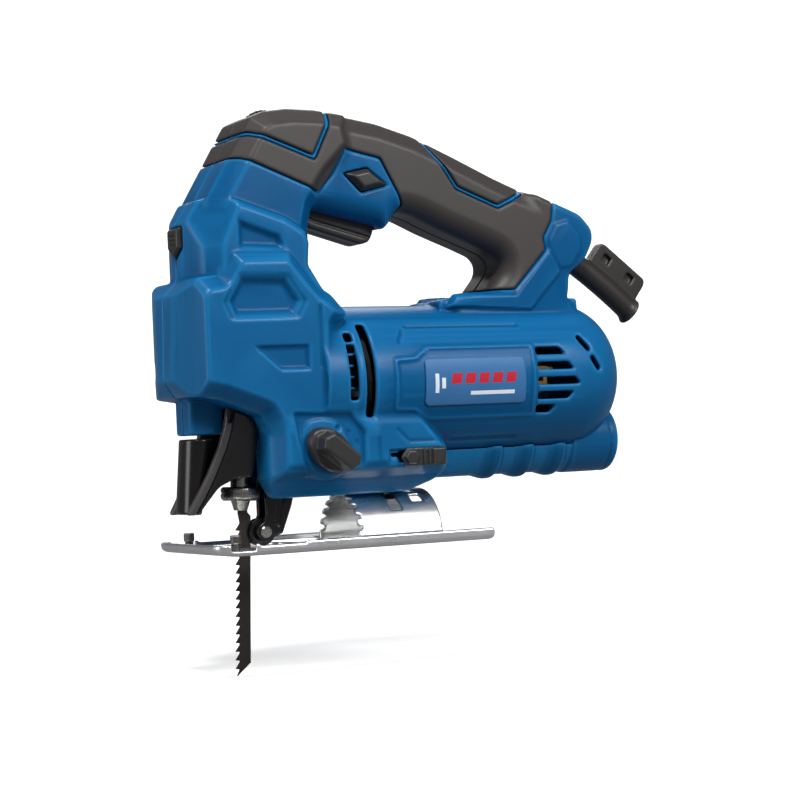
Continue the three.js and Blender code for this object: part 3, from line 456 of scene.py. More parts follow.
class Surface:
    # a material with the sums that most finishes share
    def __init__(self, name, fixed):
        self.material = bpy.data.materials.new(name)
        self.material.use_nodes = True
        self.tree = self.material.node_tree
        self.shader = self.tree.nodes["Principled BSDF"]
        for key, value in fixed.items():
            self.shader.inputs[key].default_value = value
        self.place = self.add("ShaderNodeTexCoord", output="Object")

    def add(self, kind, settings=None, inputs=None, output=0):
        return addNode(self.tree, kind, settings, inputs, output)

    def noise(self, scale, detail=3.0, rough=0.5, place=None):
        inputs = {"Vector": place or self.place, "Scale": scale, "Detail": detail, "Roughness": rough}
        return self.add("ShaderNodeTexNoise", {}, inputs, output="Fac")

    def stretched(self, factors):
        # the pattern's place with each axis scaled, so that grain runs along one of them
        return self.add("ShaderNodeVectorMath", {"operation": "MULTIPLY"}, {0: self.place, 1: factors})

    def axes(self):
        return [self.add("ShaderNodeSeparateXYZ", {}, {0: self.place}, output=i) for i in range(3)]

    def mix(self, factor, first, second):
        settings = {"data_type": "RGBA"}
        return self.add("ShaderNodeMix", settings, {0: factor, 6: first, 7: second}, output=2)

    def bend(self):
        return self.add("ShaderNodeAttribute", {"attribute_name": "bend"}, output="Fac")

    def feed(self, **sockets):
        names = {"colour": "Base Color", "rough": "Roughness", "metal": "Metallic", "normal": "Normal",
                 "glow": "Emission Color"}
        for key, value in sockets.items():
            if isinstance(value, Value):
                self.tree.links.new(value.socket, self.shader.inputs[names[key]])
            else:
                self.shader.inputs[names[key]].default_value = value

    def bump(self, height, depth, strength=1.0):
        inputs = {"Height": height, "Distance": depth, "Strength": strength}
        return self.add("ShaderNodeBump", {}, inputs)


def shade(colour, factor):
    return tuple(min(1.0, c * factor) for c in colour)


def moulded(name, look):
    # moulded plastic or rubber: fine even grain, a slow drift of tone, outer edges lightened as a painted highlight,
    # inner corners darkened with dust and painted shade
    s = Surface(name, {"IOR": 1.46, "Specular IOR Level": look["specular"],
                       "Coat Weight": look.get("coat", 0.0), "Coat Roughness": 0.25})
    tone = s.noise(look.get("toneScale", 35), 4, 0.55)
    grain = s.noise(look["grainScale"], 2, 0.6)
    scuff = s.noise(look.get("scuffScale", 160), 6, 0.7)
    bend = s.bend()
    # edge marks outer edges, which get a painted highlight and lower roughness; corner marks inner corners, which get
    # dust and painted shade
    edge = bend.above(look.get("edgeFrom", 0.3), 0.5)
    corner = (0 - bend).above(0.35, 0.5)
    drift = s.mix(tone, shade(look["colour"], 0.9), shade(look["colour"], 1.1))
    # painted highlight: outer edges lightened towards the edge colour
    paintedEdgeHighlight = s.mix(edge * look.get("edgeLight", 0.35), drift,
                   look.get("edgeColour", shade(look["colour"], 1.8)))
    # dust and painted shade: inner corners darkened towards a deep tint of the colour
    dustAndPaintedShade = s.mix(corner * look.get("cornerDark", 0.35), paintedEdgeHighlight, shade(look["colour"], 0.45))
    rough = look["rough"] + (scuff - 0.5) * look.get("roughDrift", 0.12) - edge * 0.06 + (grain - 0.5) * 0.06
    s.feed(colour=dustAndPaintedShade, rough=rough, normal=s.bump(grain, look["grainDepth"], look.get("grainStrength", 0.35)))
    return s.material


def metalFinish(name, look):
    # worked metal: fine lines along the direction that the tool ran, cloudy tone, brighter edges from wear and a
    # painted highlight
    s = Surface(name, {})
    lines = s.noise(look["lineScale"], 3, 0.6, s.stretched(look["run"]))
    cloud = s.noise(look.get("cloudScale", 60), 5, 0.6)
    speck = s.noise(900, 2, 0.5)
    tone = (lines * 0.5 + cloud * 0.5).clipped()
    base = s.mix(tone, shade(look["colour"], 1 - look.get("contrast", 0.15)), shade(look["colour"], 1.1))
    # wear and painted highlight: outer edges lightened towards the edge colour
    wornAndPaintedHighlight = s.mix(s.bend().above(0.3, 0.5) * look.get("edgeLight", 0.3), base,
                 look.get("edgeColour", (0.8, 0.8, 0.8)))
    rough = look["rough"] + (cloud - 0.5) * look.get("roughDrift", 0.2) + (lines - 0.5) * 0.15
    s.feed(colour=wornAndPaintedHighlight, rough=rough, metal=look.get("metal", 1.0))
    height = lines * 0.8 + speck * 0.2
    s.feed(normal=s.bump(height, look.get("lineDepth", 0.00002), look.get("lineStrength", 0.3)))
    return s.material


# edgeColour and edgeLight set the painted highlight on each finish's outer edges; cornerDark sets its dust and painted
# shade in corners
looks = {
    "housingBlue": dict(colour=(0.0, 0.080, 0.222), rough=0.34, specular=0.16, grainScale=2600, grainDepth=0.00004,
                        edgeColour=(0.015, 0.2, 0.46), edgeLight=0.6),
    "gripRubber": dict(colour=(0.034, 0.028, 0.027), rough=0.5, specular=0.5, grainScale=3200, grainDepth=0.00005,
                       grainStrength=0.5, edgeColour=(0.06, 0.052, 0.05), scuffScale=90),
    "sleeveRubber": dict(colour=(0.018, 0.015, 0.014), rough=0.45, specular=0.5, grainScale=2800,
                         grainDepth=0.00004, edgeColour=(0.05, 0.045, 0.042)),
    "controlBlack": dict(colour=(0.022, 0.02, 0.02), rough=0.4, specular=0.5, grainScale=3000, grainDepth=0.00003,
                         edgeColour=(0.07, 0.065, 0.065)),
    "glossBlack": dict(colour=(0.004, 0.004, 0.0045), rough=0.22, specular=0.5, grainScale=900,
                       grainDepth=0.00001, grainStrength=0.15, edgeColour=(0.03, 0.03, 0.03), roughDrift=0.08),
    "bandGrey": dict(colour=(0.05, 0.046, 0.046), rough=0.35, specular=0.5, grainScale=2600, grainDepth=0.00003),
    "fanBlack": dict(colour=(0.015, 0.015, 0.016), rough=0.5, specular=0.5, grainScale=2200, grainDepth=0.00003),
    "carbonPressed": dict(colour=(0.02, 0.02, 0.021), rough=0.7, specular=0.3, grainScale=1800, grainDepth=0.00006),
}
metals = {
    "brightZinc": dict(colour=(0.86, 0.86, 0.85), rough=0.3, lineScale=60, run=(3, 30, 30), contrast=0.1,
                       cloudScale=45, edgeLight=0.5, edgeColour=(0.95, 0.95, 0.95), lineDepth=0.00001),
    "turnedSteel": dict(colour=(0.34, 0.33, 0.31), rough=0.28, lineScale=90, run=(4, 4, 40), edgeLight=0.5),
    "darkSteel": dict(colour=(0.085, 0.08, 0.075), rough=0.38, lineScale=90, run=(10, 10, 10), metal=0.85),
    "bladeSteel": dict(colour=(0.06, 0.05, 0.046), rough=0.36, lineScale=80, run=(30, 3, 2), metal=0.9,
                       edgeLight=0.7, edgeColour=(0.5, 0.5, 0.5)),
    "castAlloy": dict(colour=(0.5, 0.5, 0.51), rough=0.5, lineScale=50, run=(5, 5, 5), lineDepth=0.0001),
    "machinedBrass": dict(colour=(0.62, 0.44, 0.18), rough=0.3, lineScale=90, run=(5, 5, 40)),
}
finishes = {name: moulded(name, look) for name, look in looks.items()}
finishes.update({name: metalFinish(name, look) for name, look in metals.items()})


def windingFinish():
    # enamelled wire: fine turns side by side, a glossy varnish over them
    s = Surface("copperWindings", {"Coat Weight": 0.5, "Coat Roughness": 0.15})
    turns = s.add("ShaderNodeTexWave", {"bands_direction": "Z"},
                  {"Vector": s.place, "Scale": 500, "Distortion": 1.5}, output="Fac")
    tone = s.noise(300, 3)
    s.feed(colour=s.mix((turns * 0.6 + tone * 0.4).clipped(), (0.16, 0.045, 0.015), (0.62, 0.25, 0.1)),
           rough=0.3 + tone * 0.1, metal=0.9, normal=s.bump(turns, 0.0003, 0.6))
    return s.material


def laminatedFinish():
    # stacked core sheets across the motor's axis, with thin varnish lines
    s = Surface("laminatedCore", {})
    sheets = s.add("ShaderNodeTexWave", {"bands_direction": "X"},
                   {"Vector": s.place, "Scale": 320, "Distortion": 0.2}, output="Fac")
    tone = s.noise(120, 4)
    s.feed(colour=s.mix((sheets * 0.5 + tone * 0.5).clipped(), (0.03, 0.03, 0.032), (0.2, 0.2, 0.21)),
           rough=0.4 + tone * 0.2, metal=0.7, normal=s.bump(sheets, 0.0002, 0.5))
    return s.material


def lensFinish():
    s = Surface("redLens", {"Base Color": (0.6, 0.02, 0.02, 1), "Transmission Weight": 0.6, "IOR": 1.5})
    cloud = s.noise(200, 3)
    s.feed(rough=0.05 + cloud * 0.06)
    return s.material


finishes["copperWindings"] = windingFinish()
finishes["laminatedCore"] = laminatedFinish()
finishes["redLens"] = lensFinish()
print("finishes made:", len(finishes))


def dress(piece, finishName):
    piece.data.materials.clear()
    piece.data.materials.append(finishes[finishName])
    return piece


# the housings: nose, chest, barrel, foot and handle, worked out once for both halves
body = {
    "cell": 0.87,
    "wall": 2.6,
    "triangles": 194000,
    "rubberSkin": 1.8,
    "handleWall": 4.5,
    "noseHalf": 33.5,
    "chestHalf": 28.5,
    "capHalf": 24,
    "gripHalf": 20,
    "barrelRadius": 36.5,
    "axisHeight": 77,
    "domeStart": 128,
    "domeLength": 31,
    "seamGap": 0.15,
}
# places that more than one piece is made from, each as X and Z unless it says otherwise
centres = {
    "dial": (-23.5, 196.4),
    "selector": (-12.5, 46),
    "roller": (-33.5, 9),
    "lockButton": (19.6, 171.7),
    "fenceScrew": (-58, 28),  # X and Y
    "clampX": 29.25,
    "ductHeight": 45.3,
    "plungerFoot": -43.83,
    "plungerLean": 2.6,
}
plungerSlope = 0.0454
screwPlaces = [(-44, 177), (-57, 146), (-67, 86), (60, 170), (113, 141), (141, 98), (10, 35)]
lockCorners = ((-11, 3), (1, 5.6), (11.2, -2), (-2.2, -5.4))


def lockDiamondPoints(wide=1, tall=1):
    # the lock button's four corners, spread where a piece has to leave room for it
    x, z = centres["lockButton"]
    return [(x + a * wide, z + b * tall) for a, b in lockCorners]


def fromPlunger(x, z):
    # how far behind the leaning blade line a place is
    return x - centres["plungerFoot"] - z * plungerSlope


noseSide = eased([(-77, 119), (-78.2, 80), (-73.5, 72.5), (-62, 70.5), (-42.2, 62.9), (-38.1, 56), (-28, 46),
                  (19, 46), (20, 57), (-3, 84), (-3, 103), (4, 108.5), (-4, 117.5), (-9.5, 121), (-15.5, 128),
                  (-25, 139.5), (-54.5, 139), (-61, 127), (-70, 126)], 0.8)
chestSide = eased([(-70, 112), (-69.6, 152), (-62.7, 162.6), (-50, 161.5), (-25.5, 153.5), (-15.5, 147.5),
                   (-13.5, 142), (-14.5, 131.5), (-8, 121), (-8, 112)], 0.8)
capSide = eased([(-57.3, 167.1), (-44.6, 188.3), (-37.2, 200.5), (-30, 203.6), (-17.9, 205.2), (-3.5, 204.9),
                 (12, 202.9), (16, 186), (2, 172), (-7.4, 158.8), (-9.5, 150), (-9.5, 138), (-60, 138),
                 (-61.5, 160)], 1.0)
gripSide = eased([(-22, 204), (-3.5, 204.9), (12.2, 202.9), (29.7, 200), (49.5, 194.2), (71.1, 184.9), (93.2, 174.9),
                  (115.7, 165.7), (138.6, 156.8), (145.4, 149.5), (145.8, 143.5), (141, 134.5), (131, 127),
                  (130, 114), (136, 106), (136, 82), (60, 82), (61.3, 113.3), (66, 116.3), (84.8, 118.4),
                  (93.4, 128.4), (94.3, 133.6), (91, 137.6), (80.4, 142), (61.9, 149.2), (47.3, 155.8), (39, 157.6),
                  (31.7, 148.6), (26.6, 151.5), (-7.4, 158.8), (-14, 162), (-22, 172)], 2.5)
footSide = eased([(-38.1, 66), (-38.1, 33), (-32.5, 24), (36, 24), (49, 29.5), (55.5, 38), (54, 46),
                  (38, 66)], 2)
footAcross = [(-1, 24), (15.5, 24), (24, 32), (31.5, 36.5), (33.5, 40), (33.5, 57), (31.5, 66), (-1, 66)]


def noseShape(x, y, z):
    # the front is one broad facet that slants back from the middle to the side
    flat = outline(noseSide)(x, z)
    side = y - body["noseHalf"]
    front = (-78.6 - x + (y - 8) * 0.355) / 1.061
    return meet(meet(meet(flat, front, 0.6), slope(flat, side, 7, 7), 0.5), side, 0.5)


def chestShape(x, y, z):
    flat = outline(chestSide)(x, z)
    side = y - body["chestHalf"]
    front = (-70 - x + (y - 6) * 0.344) / 1.057
    corner = ((y - 28.5) * 6.2 + (-57.5 - x + np.maximum(z - 140, 0) * 0.45) * 6.5) / 8.98
    edged = meet(flat, slope(flat, side, 3.2, 2.6), 0.4)
    return meet(meet(meet(edged, front, 0.6), corner, 0.5), side, 0.4)


def capShape(x, y, z):
    flat = outline(capSide)(x, z)
    side = y - body["capHalf"]
    return meet(meet(flat, slope(flat, side, 8, 7.5), 0.6), side, 0.6)


def gripShape(x, y, z):
    # the rear pillar is squarer than the part that the hand holds
    flat = outline(gripSide)(x, z)
    side = y - body["gripHalf"]
    hand = meet(flat, side, 10)
    hand = meet(hand, np.where(z > 180 - (x - 12) * 0.3, slope(flat, side, 7.5, 8), -9), 0.8)
    pillar = meet(flat, side, 3)
    share = np.clip((x + z * 0.35 - 160) / 12, 0, 1)
    return hand * (1 - share) + pillar * share


def barrelShape(x, y, z):
    radial = np.hypot(y, z - body["axisHeight"])
    along = np.clip((x - body["domeStart"]) / body["domeLength"], 0, 9)
    power = 2.22
    dome = (along ** power + (radial / body["barrelRadius"]) ** power) ** (1 / power)
    return np.maximum((dome - 1) * body["barrelRadius"], -12 - x)


def footShape(x, y, z):
    flat = outline(footSide)(x, z)
    across = outline(footAcross)(y, z)
    return meet(meet(flat, slope(flat, y - body["noseHalf"], 9, 6), 1), across, 0.8)


def bossShape(x, y, z):
    return meet(outline([(-70, 78), (-70, 55), (-53, 55), (-53, 78)])(x, z), y - 9, 1.5)


rubberZone = [(-60, 181.4), (-44.5, 181), (-37.4, 178.3), (-8.5, 166.9), (-5, 165.8), (2.2, 174.4), (9.4, 186.5),
              (28, 182.4), (39.9, 160.4), (36, 156), (42, 150), (70, 136), (84, 130), (78, 119.6), (98.5, 119.6),
              (117.1, 138.8), (116.2, 145), (121, 153), (124, 172), (60, 215), (-60, 215)]
inlays = [
    [(-60, 190.8), (-38.9, 192.4), (-29.6, 189.2), (-8.2, 181.4), (0.5, 199), (4, 210)],
    [(51, 197), (58.1, 185), (68.8, 168.8), (91.2, 159.9), (106, 166.5), (112, 176)],
]


def inlayShape(width):
    def distance(x, z):
        return np.minimum(line(inlays[0], width)(x, z), line(inlays[1], width)(x, z))

    return distance


def bodyBlock():
    # both halves share this: y is the distance from the middle plane
    block = Block((-80, -1.4, 19), (161.5, 38.8, 208), body["cell"])
    cuts = block.span(None)
    x, y, z = block.points(cuts)
    front = join(noseShape(x, y, z), chestShape(x, y, z), 0.8)
    front = join(front, footShape(x, y, z), 2.0)
    front = join(front, bossShape(x, y, z), 0.8)
    barrel = barrelShape(x, y, z)
    handle = join(capShape(x, y, z), gripShape(x, y, z), 2)
    block.value = join(join(front, barrel, 1.5), handle, 1.0)
    cavity = np.minimum(np.minimum(front, barrel) + body["wall"], handle + body["handleWall"])
    return block, handle, front, cavity


def recess(block, points, face, depth, draft=0.5, edge=0.5, radius=0):
    # a pocket in a side wall, its walls leaning outwards
    flat = outline(eased(points, radius) if radius else points)

    def distance(x, y, z):
        walls = (flat(x, z) - (y - face) * draft) / math.hypot(1, draft)
        return np.maximum(walls, face - depth - y)

    span = np.asarray(points)
    low, high = span.min(0) - 3, span.max(0) + 3
    block.cut(distance, ((low[0], high[0]), (8, 45), (low[1], high[1])), edge)


def ridge(block, flat, span, face, height, draft=0.6, fillet=0.4, radial=False):
    # a raised pad or rib on a side wall, its walls leaning inwards; radial ones rise from the motor's axis
    def distance(x, y, z):
        out = np.hypot(y, z - body["axisHeight"]) if radial else y
        walls = (flat(x, z) + (out - face) * draft) / math.hypot(1, draft)
        return np.maximum(np.maximum(walls, out - face - height), face - 4 - out)

    (x0, x1), (z0, z1) = span
    block.add(distance, ((x0 - 3, x1 + 3), (8, 45), (z0 - 3, z1 + 3)), fillet)


def groove(block, points, width, depth, face, radial=False):
    # a narrow channel along a run of points; on the barrel its depth is measured from the motor's axis
    flat = line(points, width)

    def distance(x, y, z):
        out = np.hypot(y, z - body["axisHeight"]) if radial else y
        walls = (flat(x, z) - (out - face) * 0.5) / 1.118
        return np.maximum(walls, face - depth - out)

    span = np.asarray(points)
    low, high = span.min(0) - 3, span.max(0) + 3
    block.cut(distance, ((low[0], high[0]), (5, 45), (low[1], high[1])), 0.3)


pressRoom = [(-10, 149), (22.3, 141.6), (28, 143), (31, 149), (31, 154), (32.5, 162), (-8, 171)]
panelEdge = [(40.7, 91.3), (97.6, 91.3), (97.6, 58.3), (40.8, 58.3), (33.3, 62.8), (23.4, 63.2), (23.4, 85.9),
             (33.7, 86.6)]


def detailBody(block):
    nose, barrel = body["noseHalf"], body["barrelRadius"]
    # the triangular pocket on the chest, and the framed hexagon below it
    recess(block, [(-50.3, 152.6), (-29.4, 145.6), (-27.2, 141), (-29.1, 138.2), (-50.4, 138.6)],
           body["chestHalf"], 2.4, 1.0, 0.3)
    hexagon = np.array([(-51.5, 126), (-29.6, 125.6), (-22.2, 115), (-26, 108), (-55.2, 107.6), (-58.4, 114.6)])
    middle = hexagon.mean(0)
    recess(block, [tuple(p) for p in middle + (hexagon - middle) * 1.16], nose, 0.9, 0.9, 0.3)
    recess(block, [tuple(p) for p in hexagon], nose - 0.9, 2.4, 1.1, 0.3)
    recess(block, [(-47.2, 94.4), (-19.4, 94.6), (-19.4, 83), (-33.9, 82.9)], nose, 1.5, 0.7, 0.2)
    # a step down from the nose to the barrel, and the slanted rib under it
    groove(block, [(-13.2, 112), (-13.6, 84)], 1.2, 0.9, nose)
    groove(block, [(14.2, 50), (14.2, 36)], 1.0, 0.7, nose)
    # the selector's pocket: straight above and behind, round below
    pocket = [(-29.6, 63.9), (0.2, 62.9), (7.6, 53.5), (7.3, 34.6), (-3.8, 33.9), (-9, 30.6), (-15, 30.4),
              (-20.5, 33.2), (-25, 40)]
    recess(block, pocket, nose, 1.6, 1.0, 0.3, 1.5)
    ring = outline(eased([(-27, 50), (-22, 60), (-8, 60), (-1, 50), (-1, 40), (-7, 34), (-18, 34), (-25, 42)],
                         6))
    ridge(block, ring, ((-28, 0), (33, 61)), nose - 1.2, 0.5, 0.8)
    # long shallow steps above and below the label panel, and the panel's raised rim
    groove(block, [(33.3, 101.6), (94.4, 101.4)], 1.7, 1.1, barrel, True)
    groove(block, [(27, 94.5), (30.5, 99.5)], 1.7, 1.0, barrel, True)
    groove(block, [(57, 48.2), (93.1, 48.2)], 1.7, 1.1, barrel, True)
    groove(block, [(24, 54), (30, 48.2), (50, 48.2)], 1.3, 0.8, nose)
    panel = outline(panelEdge)

    def panelRim(x, z):
        return np.abs(panel(x, z)) - 0.85

    ridge(block, panelRim, ((22, 99), (57, 93)), barrel, 0.75, 0.5, 0.3, True)
    # the brace that runs up from the barrel to the handle's end, and the end's octagonal cap
    brace = outline([(62, 111.6), (66, 116.6), (78, 117.2), (98.6, 117.2), (118.5, 139.6), (124.8, 128),
                     (107, 109.5)])
    ridge(block, brace, ((62, 125), (109, 140)), body["gripHalf"], 1.2, 0.5)
    octagon = eased([(122.7, 152.1), (130.8, 154.2), (137.6, 146.5), (137.6, 138), (131, 130), (124.5, 129.1),
                     (118.9, 138.6), (118, 144)], 1)
    ridge(block, outline(octagon), ((118, 138), (129, 155)), body["gripHalf"] - 0.6, 1.5, 0.8)
    # a flat pad where the handle's pillar lands on the barrel
    pad = cuboid((58, -5, 100), (136, 17, 115.2), 1.2)
    block.add(pad, ((55, 140), (-2, 20), (98, 117)), 1.2)


def openBody(block, cavity, rightSide):
    # hollows the body, then cuts what passes through its wall
    nose = body["noseHalf"]
    cuts = block.span(None)
    x, y, z = block.points(cuts)
    solid = block.value.copy()
    hollow = np.maximum(cavity, solid + body["wall"])
    block.value = np.maximum(block.value, -hollow)
    for sx, sz in screwPlaces:
        boss = np.maximum(np.hypot(x - sx, z - sz) - 4.6 + 0 * y, solid + 1)
        block.value = np.minimum(block.value, boss)
    reach = ((100, 123), (14, 45), (58, 92))
    # each vent's middle height, its length's end, and how far its lower and upper corner lie beyond that
    vents = [(88.6, 114.5, 2.2, -1.2), (81.4, 118.5, 2.2, -1.2), (74.1, 122, 2.2, -1.2),
             (67.2, 118.6, -1.2, 1.6), (60.9, 109, -1.2, 1.6)]
    start, half = 100, 1.75
    for middle, end, below, above in vents:
        low, high = middle - half, middle + half
        slot = outline([(start, low), (end + below, low), (end + above, high), (start, high)])
        block.cut(lambda a, b, c, slot=slot: np.maximum(slot(a, c), 16 - b), reach, 0.3)
    for run in ([(126.2, 94.4), (130, 89)], [(131.6, 84.6), (134.6, 79.6)]):
        slot = line(run, 2.6)
        block.cut(lambda a, b, c, slot=slot: np.maximum(slot(a, c), 12 - b), ((120, 140), (10, 40), (74, 99)),
                  0.3)
    # two tall slots behind the nose, the first one with cross bars
    for x0, x1, z0, z1 in ((-0.4, 3.8, 68, 99), (8, 12.4, 60, 103)):
        block.cut(cuboid((x0, 16, z0), (x1, 50, z1), 0.6), ((x0 - 2, x1 + 2), (14, 45), (z0 - 2, z1 + 2)), 0.4)
    for level in np.arange(73.5, 98, 5.2):
        bar = cuboid((-1.5, 28.2, level - 0.8), (4.6, 31.6, level + 0.8), 0.3)
        block.add(bar, ((-3, 6), (26, 34), (level - 3, level + 3)))
    block.cut(cuboid((-46, -9, 10), (-12, 8.8, 54), 0.5), ((-48, -10), (-2, 11), (18, 56)), 0.5)

    def plungerHole(a, b, c):
        return np.maximum(np.hypot(fromPlunger(a, c), b) - 6.75, c - 74)

    block.cut(plungerHole, ((-55, -30), (-2, 9), (38, 76)))
    block.cut(barAlong(0, (0, 3), 22.8, 5, 82, 0), ((3, 84), (-2, 26), (18, 28)))
    press = outline(pressRoom)
    block.cut(plate(press, -9, 8.1, 0), ((-13, 35), (-2, 10), (139, 173)), 0.3)
    block.cut(barAlong(1, centres["dial"], 11, -5, 5, 0), ((-36, -11), (-2, 7), (184, 208)), 0.4)
    shield = outline([(-7, 7.4), (7, 7.4), (7, -2.7), (0, -7.6), (-7, -2.7)])
    block.cut(lambda a, b, c: np.maximum(shield(b, c - 143.5) + 0 * a, a + 60),
              ((-76, -58), (-2, 9), (134, 153)), 0.3)
    block.cut(barAlong(0, (0, centres["ductHeight"]), 16.8, 130, 175, 0), ((128, 163), (-2, 19), (26, 64)))
    block.cut(barAlong(2, (centres["clampX"], 0), 2.8, 10, 43, 0), ((25, 34), (-2, 5), (18, 46)))

    def sleeveHole(a, b, c):
        along = ((a - 141) * 36.8 + (c - 136) * -27.4) / 45.9
        off = ((a - 141) * 27.4 + (c - 136) * 36.8) / 45.9 - 1.5
        return np.maximum(np.hypot(off, b) - 6.1, -9.8 - along)

    block.cut(sleeveHole, ((128, 152), (-2, 9), (124, 148)), 0.4)
    if rightSide:
        for sx, sz in screwPlaces:
            block.cut(barAlong(1, (sx, sz), 3.9, 12, 60, 0), ((sx - 6, sx + 6), (10, 45), (sz - 6, sz + 6)),
                      0.5)
    else:
        diamond = outline(lockDiamondPoints(1.06, 1.1))
        block.cut(plate(diamond, 11, 45, 0), ((6, 34), (10, 30), (164, 180)), 0.3)
        block.cut(barAlong(1, centres["selector"], 4, 10, 50, 0), ((-18, -7), (10, 45), (40, 52)))
        block.cut(cuboid((19.2, nose - 1.6, 37), (51, 50, 44.4), 0.3), ((17, 53), (18, 45), (36, 46)), 0.3)
        block.cut(cuboid((25, 20, 38.2), (44.5, 50, 42.8), 0.3), ((23, 46), (18, 45), (36, 45)))
        for dx, dz in ((-6.6, 55.8), (-1, 53.7), (2.9, 49.1)):
            dent = lambda a, b, c, dx=dx, dz=dz: ball(a - dx, b - body["noseHalf"] + 0.6, c - dz, 1.5)
            block.cut(dent, ((dx - 3, dx + 3), (28, 40), (dz - 3, dz + 3)), 0.2)
    block.keep(lambda a, b, c: body["seamGap"] - b)
    return solid


def rubberCut(block, handle, front):
    # room for the rubber: the skin's depth inside the handle, within its zone, but not under the blue lines
    cuts = block.span(None)
    x, y, z = block.points(cuts)
    zone = outline(rubberZone)(x, z) - 0.35
    skin = -(handle + body["rubberSkin"] + 0.25)
    room = np.maximum(np.maximum(zone, skin), -(inlayShape(1.3)(x, z)))
    room = np.maximum(room, 0.1 - front)
    block.value = np.maximum(block.value, -room)


def makeHousings():
    block, handle, front, cavity = bodyBlock()
    detailBody(block)
    rubberCut(block, handle, front)
    shared = block.value
    for rightSide, name, node in ((False, "leftHousing", "left_housing"), (True, "rightHousing", "right_housing")):
        block.value = shared.copy()
        outside = openBody(block, cavity, rightSide)
        piece = carved(name, block, "housing", (node,), not rightSide)
        thinInside(piece, block, outside, body["triangles"])
        dress(piece, "housingBlue")


def makeGrips():
    # two rubber skins, 1.8 mm thick, with slots for the blue lines and a softly rounded rim
    cell = 0.75
    block = Block((-60, -1.2, 114), (127, 26, 208), cell)
    cuts = block.span(None)
    x, y, z = block.points(cuts)
    handle = join(capShape(x, y, z), gripShape(x, y, z), 2)
    front = chestShape(x, y, z) - 0.3
    zone = outline(rubberZone)(x, z)
    skin = np.maximum(handle, -(handle + body["rubberSkin"]))
    value = meet(meet(skin, zone + 0 * y, 0.6), -(inlayShape(1.9)(x, z) + 0 * y), 0.5)
    value = np.maximum(value, -front)
    block.value = value
    # room for the dial and for the trigger
    block.cut(barAlong(1, centres["dial"], 11, -5, 5, 0), ((-36, -11), (-2, 7), (184, 208)), 0.5)
    press = outline(pressRoom)
    block.cut(plate(press, -9, 8.1, 0), ((-13, 35), (-2, 10), (139, 173)))
    block.keep(lambda a, b, c: body["seamGap"] - b, 0.3)
    shared = block.value
    for rightSide, name, node in ((False, "leftGrip", "left_grip"), (True, "rightGrip", "right_grip")):
        block.value = shared.copy()
        if rightSide:
            for sx, sz in ((-44, 177), (60, 170), (113, 141)):
                block.cut(barAlong(1, (sx, sz), 3.9, 8, 60, 0), ((sx - 6, sx + 6), (6, 45), (sz - 6, sz + 6)),
                          0.4)
        else:
            diamond = outline(lockDiamondPoints())
            block.cut(plate(diamond, 11, 45, 0), ((6, 34), (10, 30), (164, 180)))
        dress(carved(name, block, "housing", (node,), not rightSide), "gripRubber")


makeHousings()
makeGrips()


# the black guard round the blade, with the laser's tapered housing
guard = {"cell": 0.55, "thickness": 2.4, "bandWidth": 3.8, "bandThickness": 4.2}
wingSide = eased([(-53.8, 68), (-38.8, 68), (-38.8, 51.7), (-41.7, 34.5), (-49.3, 34.9), (-58.3, 30.9),
                  (-68.5, 18.6), (-73.6, 19.2), (-69.4, 27), (-64.2, 36), (-58.6, 48), (-55, 58)], 2.2)
wingBand = [(-71.7, 19.6), (-67, 27.4), (-61.9, 37), (-56.9, 48.4), (-54, 58), (-52.6, 67)]


def makeGuard():
    block = Block((-77, -17, 17), (-36, 17, 70), guard["cell"])

    def wing(x, y, z):
        middle = 9.2 + (z - 19) * 0.11 + guard["thickness"] / 2
        off = np.abs(np.abs(y) - middle)
        flat = meet(outline(wingSide)(x, z), off - guard["thickness"] / 2, 0.5)
        return np.maximum(flat, 0.15 - band(x, y, z))

    def band(x, y, z):
        # the lighter rounded rim along each wing's front edge
        off = np.abs(np.abs(y) - 9.2 - (z - 19) * 0.11 - guard["thickness"] / 2)
        rim = meet(line(wingBand, guard["bandWidth"])(x, z), off - guard["bandThickness"] / 2, 1.2)
        return np.maximum(rim, 18.8 - z)

    def cone(x, y, z):
        # an ellipse that shrinks evenly from the nose down to the beam's opening
        share = (z - 19) / 34.5
        across = np.hypot((x + 68.8 - share * 5.2) / (5.3 + share * 2.3), y / (9.2 + share * 0.6))
        return meet((across - 1) * 5.6, np.maximum(18.8 - z - (x + 69) * 0.06, z - 53.5), 0.7)

    def brow(x, y, z):
        return plate(outline([(-51, 64), (-51, 60), (-46, 60), (-46, 64)]), -12, 12, 0.6)(x, y, z)

    block.add(wing).add(cone, fillet=1.5).add(brow, fillet=0.8)

    def beamBore(x, y, z):
        # the module's seat above, and the narrower opening for the beam below
        up = (z - 19) * 0.9975 + (x + 69.6) * 0.0704
        off = np.hypot((x + 69.6) * 0.9975 - (z - 19) * 0.0704, y)
        return np.minimum(np.maximum(off - 2.9, np.maximum(9 - up, up - 33.2)), np.maximum(off - 2.2, up - 20))

    block.cut(beamBore, None, 0.2)
    x, y, z = block.points(block.span(None))
    out = np.minimum(np.minimum(noseShape(x, np.abs(y), z), footShape(x, np.abs(y), z)),
                     bossShape(x, np.abs(y), z))
    block.value = np.maximum(block.value, 0.35 - out)
    dress(carved("bladeGuard", block, "housing", ("blade_guard",)), "glossBlack")
    block.value = np.maximum(band(x, y, z), 0.35 - out)
    dress(carved("guardRim", block, "housing", ("blade_guard",)), "bandGrey")


# controls
controls = {"cell": 0.42, "knobTurn": -38, "dialTeeth": 30}


